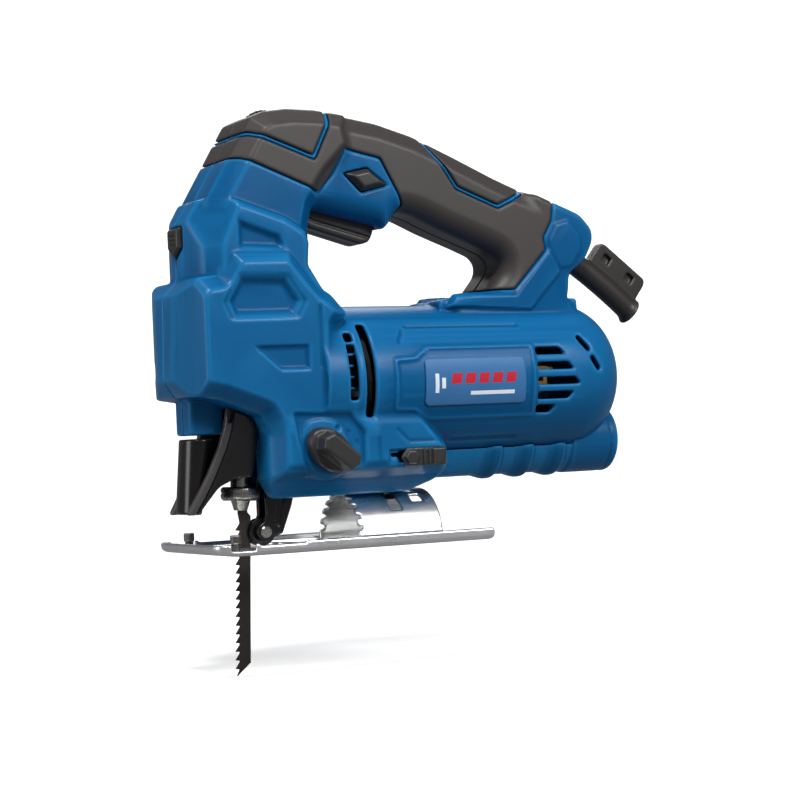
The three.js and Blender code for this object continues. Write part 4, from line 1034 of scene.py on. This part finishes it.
def makeTrigger():
    side = eased([(-8.2, 152.8), (-4.5, 150.3), (22.3, 142.6), (27, 144), (29.4, 149), (29.2, 153.4),
                  (-6.6, 161.1)], 1.8)
    block = Block((-10, -8.6, 141), (31, 8.6, 163), controls["cell"])

    def shape(x, y, z):
        return meet(outline(side)(x, z), np.abs(y) - 7.5, 1.8)

    block.add(shape)
    rim = line([(-6, 155.6), (-2, 153.6), (26, 146)], 1.5)
    block.cut(lambda x, y, z: np.maximum(rim(x, z), 6.6 - np.abs(y)), None, 0.4)
    # the finger's hollow along the underside
    hollow = lambda x, y, z: np.hypot(y, z - 141.5 + (x - 8) * 0.287 - 2.4) - 3.2
    block.cut(hollow, None, 1.0)
    dress(carved("triggerLever", block, "trigger", ("trigger",)), "controlBlack")


def makeKnob():
    angle = math.radians(controls["knobTurn"])
    seat = 34.0
    block = Block((-26.5, 9.5, 31.5), (2.5, 47.6, 60), controls["cell"])

    def disc(x, y, z):
        along = (x + 12.2) * math.cos(angle) + (z - 45.8) * math.sin(angle)
        off = -(x + 12.2) * math.sin(angle) + (z - 45.8) * math.cos(angle)
        oval = (np.hypot(along / 13.2, off / 9.2) - 1) * 9.4
        return meet(oval + (y - seat) * 0.25, np.maximum(seat - y, y - seat - 4.4), 0.6)

    def lever(x, y, z):
        # a long oval bar, narrower towards its top
        along = (x + 10.9) * math.cos(angle) + (z - 44.8) * math.sin(angle)
        off = -(x + 10.9) * math.sin(angle) + (z - 44.8) * math.cos(angle)
        wide = meet(np.abs(off) - 5.4, np.abs(along) - 11.6 + np.abs(off) * 0.5, 0.8) + (y - seat) * 0.09
        return meet(wide, np.maximum(seat - y, y - seat - 12.5), 1.1)

    block.add(disc).add(lever, fillet=0.9)

    def fingerSides(x, y, z):
        # shallow hollows pressed into the bar's two long sides
        along = (x + 10.9) * math.cos(angle) + (z - 44.8) * math.sin(angle)
        off = np.abs(-(x + 10.9) * math.sin(angle) + (z - 44.8) * math.cos(angle))
        return ball(along * 0.6, (y - seat - 8.5) * 0.9, off - 9.6, 5.4)

    block.cut(fingerSides, None, 0.5)
    block.add(barAlong(1, centres["selector"], 3.5, 10.3, seat + 1))
    dress(carved("selectorDial", block, "selector_knob", ("selector_knob",), True), "controlBlack")


def makeSlider():
    face = 33.8
    block = Block((23, 23, 35), (50, 37.6, 46.5), 0.36)
    plateSide = outline(eased([(24.2, 40.7), (27.4, 44.9), (48.4, 44.9), (47.6, 36.4), (27, 36.4)], 0.6))
    block.add(plate(plateSide, face, face + 1.6, 0.4))
    knob = outline([(24.8, 40.7), (27.8, 44.4), (32, 44.4), (34.2, 40.7), (32, 36.9), (27.4, 36.9)])
    block.add(lambda x, y, z: meet(knob(x, z) + (y - face) * 0.3, np.maximum(face - y, y - face - 3), 0.4),
              None, 0.2)
    for x0 in (35.4, 38.2):
        block.add(cuboid((x0, face, 37.1), (x0 + 1.2, face + 2.5, 44.3), 0.3), None, 0.2)
    block.add(plate(outline([(40.6, 44.4), (47.4, 44.4), (45.8, 37), (40.6, 37)]), face, face + 2.6, 0.5),
              None, 0.2)
    block.add(cuboid((31, 24, 39), (38, face + 0.5, 42), 0.3))
    dress(carved("blowerSlide", block, "blower_slider", ("blower_slider",), True), "controlBlack")


def makeLockButton():
    block = Block((6.5, 12, 164.5), (33, 24, 179), 0.36)
    flat = outline(eased(lockDiamondPoints(), 0.8))
    block.add(lambda x, y, z: meet(meet(flat(x, z), slope(flat(x, z), y - 22.8, 2.6, 2), 0.4),
                                   np.maximum(13 - y, y - 22.8), 0.4))
    dress(carved("lockDiamond", block, "lock_on_button", ("lock_on_button",), True), "controlBlack")


def makeLaserButton():
    block = Block((-72.4, -7.8, 135.4), (-63.5, 7.8, 151.6), 0.36)
    shield = outline([(-6.6, 150.5), (6.6, 150.5), (6.6, 141), (0, 136.5), (-6.6, 141)])

    def shape(x, y, z):
        flat = shield(y, z)
        return meet(meet(flat + 0 * x, slope(flat, -71.4 - x, 1.3, 1.1), 0.3),
                    np.maximum(-71.4 - x, x + 64.5), 0.4)

    block.add(shape)
    for level in (143, 145, 147):
        block.cut(cuboid((-73, -3.5, level - 0.35), (-70.7, 3.5, level + 0.35), 0.2), None, 0.2)
    dress(carved("laserSwitch", block, "laser_button", ("laser_button",)), "controlBlack")


def makeSpeedDial():
    # a wheel whose radius ripples round its rim, turned about Y
    profile = np.array([(1.2, -4), (8.6, -4), (9.6, -3.2), (10, -2.2), (10, 2.2), (9.6, 3.2), (8.6, 4),
                        (1.2, 4)])
    angle = np.linspace(0, 2 * np.pi, controls["dialTeeth"] * 8, endpoint=False)[:, None]
    ripple = 0.5 * np.clip(np.cos(angle * controls["dialTeeth"]) * 1.6, -1, 1) - 0.5
    radius = profile[None, :, 0] + ripple * (profile[None, :, 0] > 9)
    x = centres["dial"][0] + radius * np.cos(angle)
    z = centres["dial"][1] + radius * np.sin(angle)
    y = profile[None, :, 1] + 0 * angle
    dress(grid("speedWheel", np.stack([x, y, z], -1), "speed_dial", ("speed_dial",), (True, True)),
          "controlBlack")


# cord sleeve with its key holder, in its own slanted axes
sleeve = {"cell": 0.55, "start": (141, 136), "end": (177.8, 108.6), "radius": 5.6, "bore": 3.6}


def makeSleeve():
    (x0, z0), (x1, z1) = sleeve["start"], sleeve["end"]
    length = math.hypot(x1 - x0, z1 - z0)
    ux, uz = (x1 - x0) / length, (z1 - z0) / length
    block = Block((128, -9, 98), (189, 9, 152), sleeve["cell"])

    def own(x, z):
        # distance along the sleeve, and height above its line
        return (x - x0) * ux + (z - z0) * uz, -(x - x0) * uz + (z - z0) * ux

    def bent(along):
        share = np.clip((along + 9.4) / (length + 9.6), 0, 1)
        return 5.2 * share * (1 - share)

    def tube(x, y, z):
        along, up = own(x, z)
        flare = 1.5 * np.clip((along - length + 4.5) / 4, 0, 1) ** 2 + 0.5 * np.exp(-((along + 1) / 6) ** 2)
        radial = np.hypot(up - bent(along), y) - sleeve["radius"] - flare
        return meet(radial, np.maximum(-9.2 - along, along - length - 0.2), 0.7)

    def flange(x, y, z):
        along, up = own(x, z)
        return meet(np.hypot(up + 0.2, y) - 7.2, np.maximum(-9.3 - along, along + 6.9), 0.4)

    def fin(x, y, z):
        along, up = own(x, z)
        side = outline(eased([(10, 3), (10.6, 17.6), (13.2, 19.2), (42.6, 18.4), (44.2, 16), (44, 5),
                              (30, 4.6)], 1.4))
        flat = side(along, up)
        return meet(flat, np.abs(y) - 2.6, 0.6)

    block.add(tube).add(flange, fillet=0.5).add(fin, fillet=1.2)
    for low in (15.6, 31.8):
        def window(x, y, z, low=low):
            along, up = own(x, z)
            hole = np.maximum(np.abs(along - low - 2.8) - 2.3, np.abs(up - 13.2) - 2.1)
            return np.maximum(hole, 0.5 - np.abs(y))
        block.cut(window, None, 0.3)

    def bore(x, y, z):
        along, up = own(x, z)
        return np.hypot(up - bent(along), y) - sleeve["bore"] - 1.2 * np.clip((along - length + 2) / 2, 0, 1)

    block.cut(bore, None, 0.4)
    dress(carved("cordSleeve", block, "housing", ("cord_sleeve",)), "sleeveRubber")


# dust duct and port
tube = {"cell": 0.8, "radius": 16.5, "bore": 14.1, "rings": (86, 104, 122)}


def makeDustTube():
    block = Block((54, -19, 26), (159, 19, 64), tube["cell"])
    radial = lambda y, z: np.hypot(y, z - centres["ductHeight"])
    block.add(lambda x, y, z: meet(radial(y, z) - 15.7 + 0 * x, np.maximum(55.4 - x, x - 131), 0.4))
    for start in tube["rings"]:
        # each ring rises gently from the front and ends in a crisp step
        def ring(x, y, z, start=start):
            rise = np.clip((x - start + 6) / 6, 0, 1) * 1.7
            return meet(radial(y, z) - 15.7 - rise, np.maximum(start - 6 - x, x - start - 3.6), 0.4)
        block.add(ring)
    x, y, z = block.points(block.span(None))
    barrel = barrelShape(x, y, z)
    block.value = np.maximum(block.value, 0.35 - barrel)
    block.add(lambda x, y, z: meet(radial(y, z) - tube["radius"] + 0 * x, np.maximum(130.4 - x, x - 157), 0.9))
    block.cut(lambda x, y, z: radial(y, z) - tube["bore"] + 0 * x)
    block.cut(lambda x, y, z: np.abs(x - 152.5) - 0.5 + np.maximum(0, 16.1 - radial(y, z)) * 9)
    dress(carved("dustPort", block, "housing", ("dust_tube",)), "housingBlue")


# pressed sole, tilting cradle, and their screws
sole = {"cell": 0.7, "length": 142, "width": 76, "sheet": 2.2, "flange": 5.6}


def makeSole():
    halfLong, halfWide = sole["length"] / 2, sole["width"] / 2
    block = Block((-72.5, -39.4, -1.4), (72.5, 39.4, 7), sole["cell"])
    corner = 9
    # the front corners are round and the rear ones square
    plan = eased([(-halfLong, -halfWide), (halfLong, -halfWide), (halfLong, halfWide), (-halfLong, halfWide)],
                 corner, 6)
    front = sorted((p for p in plan if p[0] < halfLong - 12), key=lambda p: math.atan2(p[1], -p[0]))
    planOutline = outline([(halfLong, -halfWide), *front, (halfLong, halfWide)])

    def outer(x, y, z):
        flat = planOutline(x, y)
        curl = np.clip((-58 - x) / 13, 0, 1) ** 2 * 1.6
        return meet(meet(flat, curl - z, 2.4), z - sole["flange"], 0.5)

    def inner(x, y, z):
        flat = planOutline(np.minimum(x, 40), y) + 2.0
        curl = np.clip((-58 - x) / 13, 0, 1) ** 2 * 1.6
        return meet(flat, sole["sheet"] + curl - z, 1.0)

    block.add(outer).cut(inner, None, 0.3)
    # two long pressed ribs, and a raised frame round the blade's slot
    for side in (-1, 1):
        rib = lambda x, y, z, side=side: meet(line([(-30, side * 27), (58, side * 27)], 6)(x, y) + (z - 2.2) * 1.1,
                                              np.maximum(z - 3.3, 1 - z), 0.4)
        block.add(rib, None, 0.6)
    slot = outline(eased([(-64, -20), (-15, -20), (-15, 20), (-64, 20)], 5, 5))
    block.add(lambda x, y, z: meet(slot(x, y) - 3 + (z - 2.2) * 0.8, np.maximum(z - 3.0, 1 - z), 0.4), None,
              0.5)
    block.cut(lambda x, y, z: slot(x, y) + 0 * z, None, 0.4)
    block.cut(barAlong(2, (centres["clampX"], 0), 5, -3, 9, 0), None, 0.3)
    fenceX, fenceY = centres["fenceScrew"]
    for side in (-1, 1):
        block.cut(barAlong(2, (fenceX, side * fenceY), 2.3, -3, 9, 0), None, 0.2)
        low, high = sorted((side * 35.2, side * 39.5))
        block.cut(cuboid((-64, low, 2.6), (-52, high, 4.9), 0.2), None, 0.2)
        block.cut(cuboid((-50, low, 4.6), (-27, high, 6.5), 0.2), None, 0.3)
    dress(carved("solePlate", block, "base", ("sole_plate",)), "brightZinc")


def makeCradle():
    block = Block((5.5, -30.5, 1.2), (53, 30.5, 26.8), 0.6)

    def shape(x, y, z):
        # a half tube on two flat feet
        radial = np.hypot(y, z - 3)
        shell = meet(radial - 22.4, 20.6 - radial, 0.3)
        feet = meet(np.maximum(2.5 - z, z - 4.3), np.maximum(20.6 - np.abs(y), np.abs(y) - 29.4), 0.3)
        ends = np.maximum(7 - x, x - 51.5)
        return meet(join(np.maximum(shell, 2.5 - z), feet, 1.6), ends, 0.4)

    block.add(shape)
    turn = lambda y, z: np.degrees(np.arctan2(y, z - 3))

    def clampSlot(x, y, z):
        wide = np.abs(x - centres["clampX"]) - 2.9
        return np.maximum(wide, (np.abs(turn(y, z)) - 54) * 0.38)

    block.cut(clampSlot, None, 0.3)
    for middle in (-35, -12, 12, 35):
        window = lambda x, y, z, middle=middle: np.maximum((np.abs(turn(y, z) - middle) - 7) * 0.38,
                                                           np.abs(x - 42.3) - 2.8)
        block.cut(window, None, 0.3)
    for middle in range(-75, 76, 15):
        tooth = lambda x, y, z, middle=middle: np.maximum((np.abs(turn(y, z) - middle) - 3.4 + (x - 7) * 0.6) * 0.38,
                                                          x - 9.4)
        block.cut(tooth, None, 0.2)
    block.cut(lambda x, y, z: np.maximum(np.abs(np.abs(y) - 26) - 1.9, np.abs(x - 29) - 8),
              ((18, 40), (-31, 31), (0, 6)), 0.2)
    dress(carved("tiltCradle", block, "base", ("tilt_cradle",)), "brightZinc")


def starShape(a, b, radius, depth, arms=6):
    # a six-lobed driver recess, as a distance from a rippled circle
    angle = np.arctan2(b, a)
    return np.hypot(a, b) - radius + depth * (0.5 - 0.5 * np.cos(arms * angle))


def makeHousingScrews():
    block = Block((-4.4, -11, -4.4), (4.4, 15.6, 4.4), 0.3)

    def shape(x, y, z):
        radial = np.hypot(x, z)
        thread = 0.35 * np.abs(((y * 0.8 + np.arctan2(z, x) / (2 * np.pi)) % 1) - 0.5) * 2
        shank = np.maximum(radial - 1.75 + thread * (y < 8), np.maximum(-10 - y, y - 13))
        head = meet(radial - 3.55, np.maximum(12.3 - y, y - 14.7), 0.5)
        return join(shank, head, 0.3)

    block.add(shape).cut(lambda x, y, z: np.maximum(starShape(x, z, 1.95, 0.6), 13.3 - y), None, 0.1)
    places, quads, bend = block.skin()
    for number, (x, z) in enumerate(screwPlaces, 1):
        shifted = places + np.array([x, 0, z])
        screw = newPiece(f"caseScrew{number}", shifted, quads, "housing", (f"housing_screw_{number}",), bend)
        dress(screw, "darkSteel")


def makeFenceScrews():
    block = Block((-3.4, -3.4, 0), (3.4, 3.4, 10.3), 0.28)

    def shape(x, y, z):
        radial = np.hypot(x, y)
        head = meet(radial - 2.5, np.maximum(5.4 - z, z - 9.4), 0.3)
        return join(meet(radial - 1.95, np.maximum(0.7 - z, z - 6), 0.3), head, 0.2)

    def socket(x, y, z):
        across = np.maximum(np.abs(y), np.abs(x) * 0.866 + np.abs(y) * 0.5) - 1.25
        return np.maximum(across, 7.2 - z)

    block.add(shape).cut(socket, None, 0.1)
    places, quads, bend = block.skin()
    fenceX, fenceY = centres["fenceScrew"]
    for side, word in ((-1, "left"), (1, "right")):
        shifted = places + np.array([fenceX, side * fenceY, 0])
        screw = newPiece(f"{word}FenceScrew", shifted, quads, "base", (f"fence_screw_{word}",), bend)
        dress(screw, "darkSteel")


# blade clamp, roller and fork
def makeCollar():
    # a knurled ring: the profile's outer radius ripples round its rim
    profile = np.array([(5.15, 24), (7.9, 24), (8.6, 24.5), (9.2, 25.3), (9.3, 26), (9.3, 27), (8.9, 27.2),
                        (8.9, 27.7), (9.3, 27.9), (9.3, 29.2), (9.0, 29.8), (8.2, 30.4), (6.6, 30.4),
                        (6.2, 30.1), (5.15, 30.1)])
    angle = np.linspace(0, 2 * np.pi, 240, endpoint=False)[:, None]
    ripple = 0.05 * (np.cos(angle * 40) - 1) * (profile[None, :, 0] > 9.15)
    radius = profile[None, :, 0] + ripple
    turned = np.stack([radius * np.cos(angle), radius * np.sin(angle), profile[None, :, 1] + 0 * angle], -1)
    places = turned @ leaning(centres["plungerLean"]).T + np.array([centres["plungerFoot"], 0, 0])
    dress(grid("bladeClamp", places, "clamp_collar", ("clamp_collar",), (True, True), 50), "turnedSteel")


def makeRoller():
    inner, deep, rim = 2.3, 4.9, 6.5
    axle = (centres["roller"][0], 0, centres["roller"][1])
    profile = [(inner, -3.1), (rim - 0.5, -3.1), (rim, -2.6), (rim, -1.35), (rim - 0.35, -1.05), (deep, -1.05),
               (deep, 1.05), (rim - 0.35, 1.05), (rim, 1.35), (rim, 2.6), (rim - 0.5, 3.1), (inner, 3.1)]
    piece = lathe("guideWheel", profile, "guide_roller", ("guide_roller",), "y", axle, 72)
    dress(piece, "glossBlack")
    pin = [(0.01, -8), (1.0, -8), (1.2, -7.7), (2.3, -7.7), (2.8, -7.3), (2.8, -6.85), (2, -6.8), (2, 7.1),
           (0.01, 7.1)]
    dress(lathe("wheelPin", pin, "pendulum", ("roller_pin",), "y", axle, 48), "turnedSteel")


def makeFork():
    block = Block((-39.5, -7.6, 3.2), (-15.5, 7.6, 48.5), 0.42)
    angle = np.radians(np.linspace(110, 300, 12))
    (x0, z0), hookRadius = centres["roller"], 4.2
    hook = [(x0 + hookRadius * math.cos(a), z0 + hookRadius * math.sin(a)) for a in angle]
    side = hook + [(-24.6, 8), (-19.6, 20.5), (-17, 30), (-17, 44), (-20, 47), (-24, 47), (-27, 44),
                   (-32.4, 34), (-32.4, 16.4), (-33.4, 14.4)]
    flat = outline(side)
    block.add(lambda x, y, z: meet(flat(x, z), np.maximum(3.5 - np.abs(y), np.abs(y) - 6.5), 0.6))
    block.add(plate(outline([(-29, 24), (-21, 24), (-19, 40), (-27, 40)]), -4, 4, 0.3), None, 0.8)
    rib = line([(-27, 13), (-24.5, 24), (-24, 38)], 2.6)
    block.cut(lambda x, y, z: np.maximum(rib(x, z), 5.8 - np.abs(y)), None, 0.4)
    block.cut(barAlong(1, centres["roller"], 2.3, -9, 9, 0), None, 0.2)
    block.cut(barAlong(1, (-22, 42), 2.8, -9, 9, 0), None, 0.2)
    dress(carved("swingFork", block, "pendulum", ("pendulum_fork",)), "glossBlack")


# label film, bent round the barrel
label = {"low": (38, 64.2), "high": (92.5, 86), "radius": 36.65, "thickness": 0.5, "corner": 2.2}


def makeLabel():
    # rows of even angle round the barrel; each row's length shrinks near the corners
    (x0, z0), (x1, z1) = label["low"], label["high"]
    z = np.linspace(z0, z1, 41)[:, None]
    share = np.linspace(-1, 1, 61)[None, :]
    halfTall = (z1 - z0) / 2
    into = np.clip((np.abs(z - (z0 + z1) / 2) - halfTall + label["corner"]) / label["corner"], 0, 1)
    half = (x1 - x0) / 2 - label["corner"] * (1 - np.sqrt(1 - into ** 2))
    x = (x0 + x1) / 2 + half * share
    height = z - body["axisHeight"] + 0 * share
    layers = []
    for radius in (label["radius"], label["radius"] + label["thickness"]):
        layers.append(np.stack([x, -np.sqrt(radius ** 2 - height ** 2), height + body["axisHeight"]], -1))
    outer = grid("labelFilm", layers[0], "housing", ("label_plate",), (False, False))
    solid = outer.modifiers.new("thickness", "SOLIDIFY")
    solid.thickness = label["thickness"] * metre
    solid.offset = 1
    s = Surface("labelFilmPrint", {"Specular IOR Level": 0.2})
    px, _, pz = s.axes()

    def bar(low, high, bottom, top, lean=0.0):
        along = px - pz * lean
        wide = (along - (low + high) / 2 * metre).size()
        tall = (pz - (bottom + top) / 2 * metre).size()
        return (1 - wide.above((high - low) / 2 * metre)) * (1 - tall.above((top - bottom) / 2 * metre))

    red = bar(52 - 15.4, 57.4 - 15.4, 74, 79, 0.2)
    for start in np.arange(59.4, 84, 7.4):
        red = red + bar(start - 15.4, start + 5.4 - 15.4, 74, 79, 0.2)
    white = bar(62, 86, 68.6, 70.4) + bar(43, 45, 70, 79) + bar(46.5, 48.5, 72, 77)
    tone = s.noise(60, 4)
    film = s.mix(tone, (0.035, 0.14, 0.33), (0.045, 0.165, 0.37))
    printed = s.mix(red.clipped(), film, (0.5, 0.02, 0.04))
    printed = s.mix(white.clipped(), printed, (0.75, 0.8, 0.86))
    grain = s.noise(2500, 2)
    s.feed(colour=printed, rough=0.38 + (tone - 0.5) * 0.1, normal=s.bump(grain, 0.00002, 0.3))
    outer.data.materials.clear()
    outer.data.materials.append(s.material)


def makeLaser():
    # a small brass barrel and its lens, narrower than the guard's bore
    profile = [(0.01, 0), (2.5, 0), (2.7, 0.3), (2.7, 7), (2.4, 7.3), (2.4, 8), (2.7, 8.3), (2.7, 18),
               (2.4, 18.4), (0.01, 18.4)]
    dress(lathe("laserBarrel", profile, "housing", ("laser_module",), "z", (-68.5, 0, 33.5), 48, 4),
          "machinedBrass")
    lens = [(0.01, -0.9), (1.2, -0.7), (2.2, 0), (2.4, 0.4), (2.4, 1.9), (0.01, 1.9)]
    dress(lathe("laserLens", lens, "housing", ("laser_lens",), "z", (-68.7, 0, 31.4), 48, 4), "redLens")


def makeGearCase():
    # a hollow casting that follows the inside of nose and chest, bored for the plunger and the motor's shaft
    block = Block((-54, -26, 59), (-2, 26, 153), 1.0)

    def outer(x, y, z):
        side = np.abs(y)
        room = np.minimum(noseShape(x, side, z), chestShape(x, side, z)) + 3.6
        return meet(room, cuboid((-51.4, -24, 61.5), (-4, 24, 151), 3)(x, y, z), 2)

    def ribs(x, y, z):
        return np.maximum(outer(x, y, z) - 0.9, np.abs((z - 61) % 15 - 7.5) - 0.9)

    block.add(outer).add(ribs, None, 0.6)
    block.cut(lambda x, y, z: outer(x, y, z) + 3.2, None, 0.5)
    block.cut(lambda x, y, z: np.hypot(fromPlunger(x, z), y) - 8.1)
    block.cut(barAlong(0, (0, 77), 7, -14, 0))
    block.cut(lambda x, y, z: np.maximum(np.abs(y) - 15.8, np.abs(x + 40) - 9),
              ((-54, -2), (-26, 26), (64, 150)))
    dress(carved("gearCasting", block, "housing", ("gear_case",)), "castAlloy")


for make in (
    makeGuard, makeLaser, makeGearCase, makeTrigger, makeKnob, makeSlider, makeLockButton,
    makeLaserButton, makeSpeedDial, makeSleeve, makeDustTube, makeSole, makeCradle, makeHousingScrews,
    makeFenceScrews, makeCollar, makeRoller, makeFork, makeLabel,
):
    make()

# the CAD nodes that stay: the blade, the plunger and the motor inside
nodeFinishes = {
    "blade": "bladeSteel", "plunger": "turnedSteel",
    "upper_bush": "machinedBrass", "lower_bush": "machinedBrass", "gear_shaft": "turnedSteel",
    "front_bearing": "turnedSteel", "rear_bearing": "turnedSteel", "stator_core": "laminatedCore",
    "field_coil_front": "copperWindings", "field_coil_rear": "copperWindings", "brush_holder_left": "machinedBrass",
    "brush_holder_right": "machinedBrass", "carbon_brush_left": "carbonPressed", "carbon_brush_right": "carbonPressed",
    "trigger_switch": "fanBlack", "fork_pin": "turnedSteel", "clamp_saddle": "brightZinc", "clamp_screw": "darkSteel",
    "armature_shaft": "turnedSteel", "armature_core": "laminatedCore", "armature_winding_front": "copperWindings",
    "armature_winding_rear": "copperWindings", "commutator": "copperWindings", "cooling_fan": "fanBlack",
    "drive_gear": "turnedSteel",
}
for node, finishName in nodeFinishes.items():
    dress(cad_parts[node], finishName)
print("CAD nodes dressed:", len(nodeFinishes))

# the stage, the lights and the camera, in metres
stage = {"floorHeight": -0.0578, "reach": 9, "turnStart": 2.5, "turnRadius": 1.5, "wallHeight": 7,
         "ambient": 0.22, "backdrop": 1.0, "away": (0.46168, 0.88688)}
view = {"lens": 97.2, "sensor": 36, "nearest": 0.05, "farthest": 60, "place": (-0.43879, -0.9256, 0.04994),
        "right": (0.88646, -0.46058, -0.04536), "up": (0.03224, -0.03631, 0.99882),
        "ahead": (0.46168, 0.88688, 0.01734)}


def makeStage():
    # a pale floor that turns up into a wall far behind, in one sheet
    turn = np.radians(np.linspace(0, 90, 13))
    radius = stage["turnRadius"]
    depth = np.concatenate([[-stage["reach"]], stage["turnStart"] + radius * np.sin(turn),
                            [stage["turnStart"] + radius]])
    height = np.concatenate([[0], radius * (1 - np.cos(turn)), [stage["wallHeight"]]]) + stage["floorHeight"]
    side = np.linspace(-1, 1, 9)[:, None] * stage["reach"]
    away = np.array(stage["away"])
    along = np.array([away[1], -away[0]])
    places = np.stack([depth * away[0] + side * along[0], depth * away[1] + side * along[1],
                       height + 0 * side], -1)
    index = np.arange(places.shape[0] * places.shape[1]).reshape(places.shape[:2])
    quads = gridQuads(index)
    floorMesh = bpy.data.meshes.new("floor")
    floorMesh.from_pydata(places.reshape(-1, 3).tolist(), [], quads.tolist())
    floorMesh.polygons.foreach_set("use_smooth", np.full(len(quads), True))
    floor = bpy.data.objects.new("floor", floorMesh)
    bpy.context.scene.collection.objects.link(floor)
    s = Surface("paleFloor", {"Specular IOR Level": 0.1, "Emission Strength": 1.0})
    pale = s.mix(s.noise(2, 2), (0.92, 0.92, 0.92), (0.94, 0.94, 0.94))
    # pale to the camera, and darker for the light that it throws back
    direct = s.add("ShaderNodeLightPath", output="Is Camera Ray")
    s.feed(colour=s.mix(direct, (0.2, 0.2, 0.21), pale), rough=0.8,
           glow=s.mix(direct, (0, 0, 0), (0.38, 0.38, 0.38)))
    floorMesh.materials.append(s.material)
    world = bpy.data.worlds.new("studio")
    bpy.context.scene.world = world
    world.use_nodes = True
    tree = world.node_tree
    seen = addNode(tree, "ShaderNodeLightPath", output="Is Camera Ray")
    glow = stage["ambient"] + seen * (stage["backdrop"] - stage["ambient"])
    tree.links.new(glow.socket, tree.nodes["Background"].inputs["Strength"])
    tree.nodes["Background"].inputs["Color"].default_value = (0.98, 0.99, 1, 1)


def makeLight(name, place, target, size, power, colour=(1, 1, 1)):
    data = bpy.data.lights.new(name, "AREA")
    data.shape = "RECTANGLE"
    data.size, data.size_y = size
    data.energy = power
    data.color = colour
    lamp = bpy.data.objects.new(name, data)
    bpy.context.scene.collection.objects.link(lamp)
    lamp.location = place
    lamp.rotation_euler = (Vector(target) - Vector(place)).to_track_quat("-Z", "Y").to_euler()


def makeSun(towards, strength, softness):
    data = bpy.data.lights.new("sun", "SUN")
    data.energy = strength
    data.angle = math.radians(softness)
    lamp = bpy.data.objects.new("sun", data)
    bpy.context.scene.collection.objects.link(lamp)
    lamp.rotation_euler = Vector(towards).to_track_quat("Z", "Y").to_euler()


def makeCamera():
    data = bpy.data.cameras.new("camera")
    data.lens = view["lens"]
    data.sensor_width = view["sensor"]
    data.clip_start, data.clip_end = view["nearest"], view["farthest"]
    camera = bpy.data.objects.new("camera", data)
    bpy.context.scene.collection.objects.link(camera)
    turn = Matrix((Vector(view["right"]), Vector(view["up"]), -Vector(view["ahead"]))).transposed().to_4x4()
    camera.matrix_world = Matrix.Translation(view["place"]) @ turn
    bpy.context.scene.camera = camera


makeStage()
makeSun((-0.3, -0.5, 1.0), 2.3, 12)
makeLight("key", (0.5, -1.1, 0.75), (0.03, 0, 0.12), (0.6, 0.4), 11)
makeLight("rim", (0.3, 0.8, 0.9), (0, 0, 0.12), (0.6, 0.6), 4)
makeLight("side", (-1.3, 0.15, 0.3), (0, 0, 0.1), (0.5, 0.8), 5)
makeCamera()
bpy.context.scene.view_settings.view_transform = "Standard"
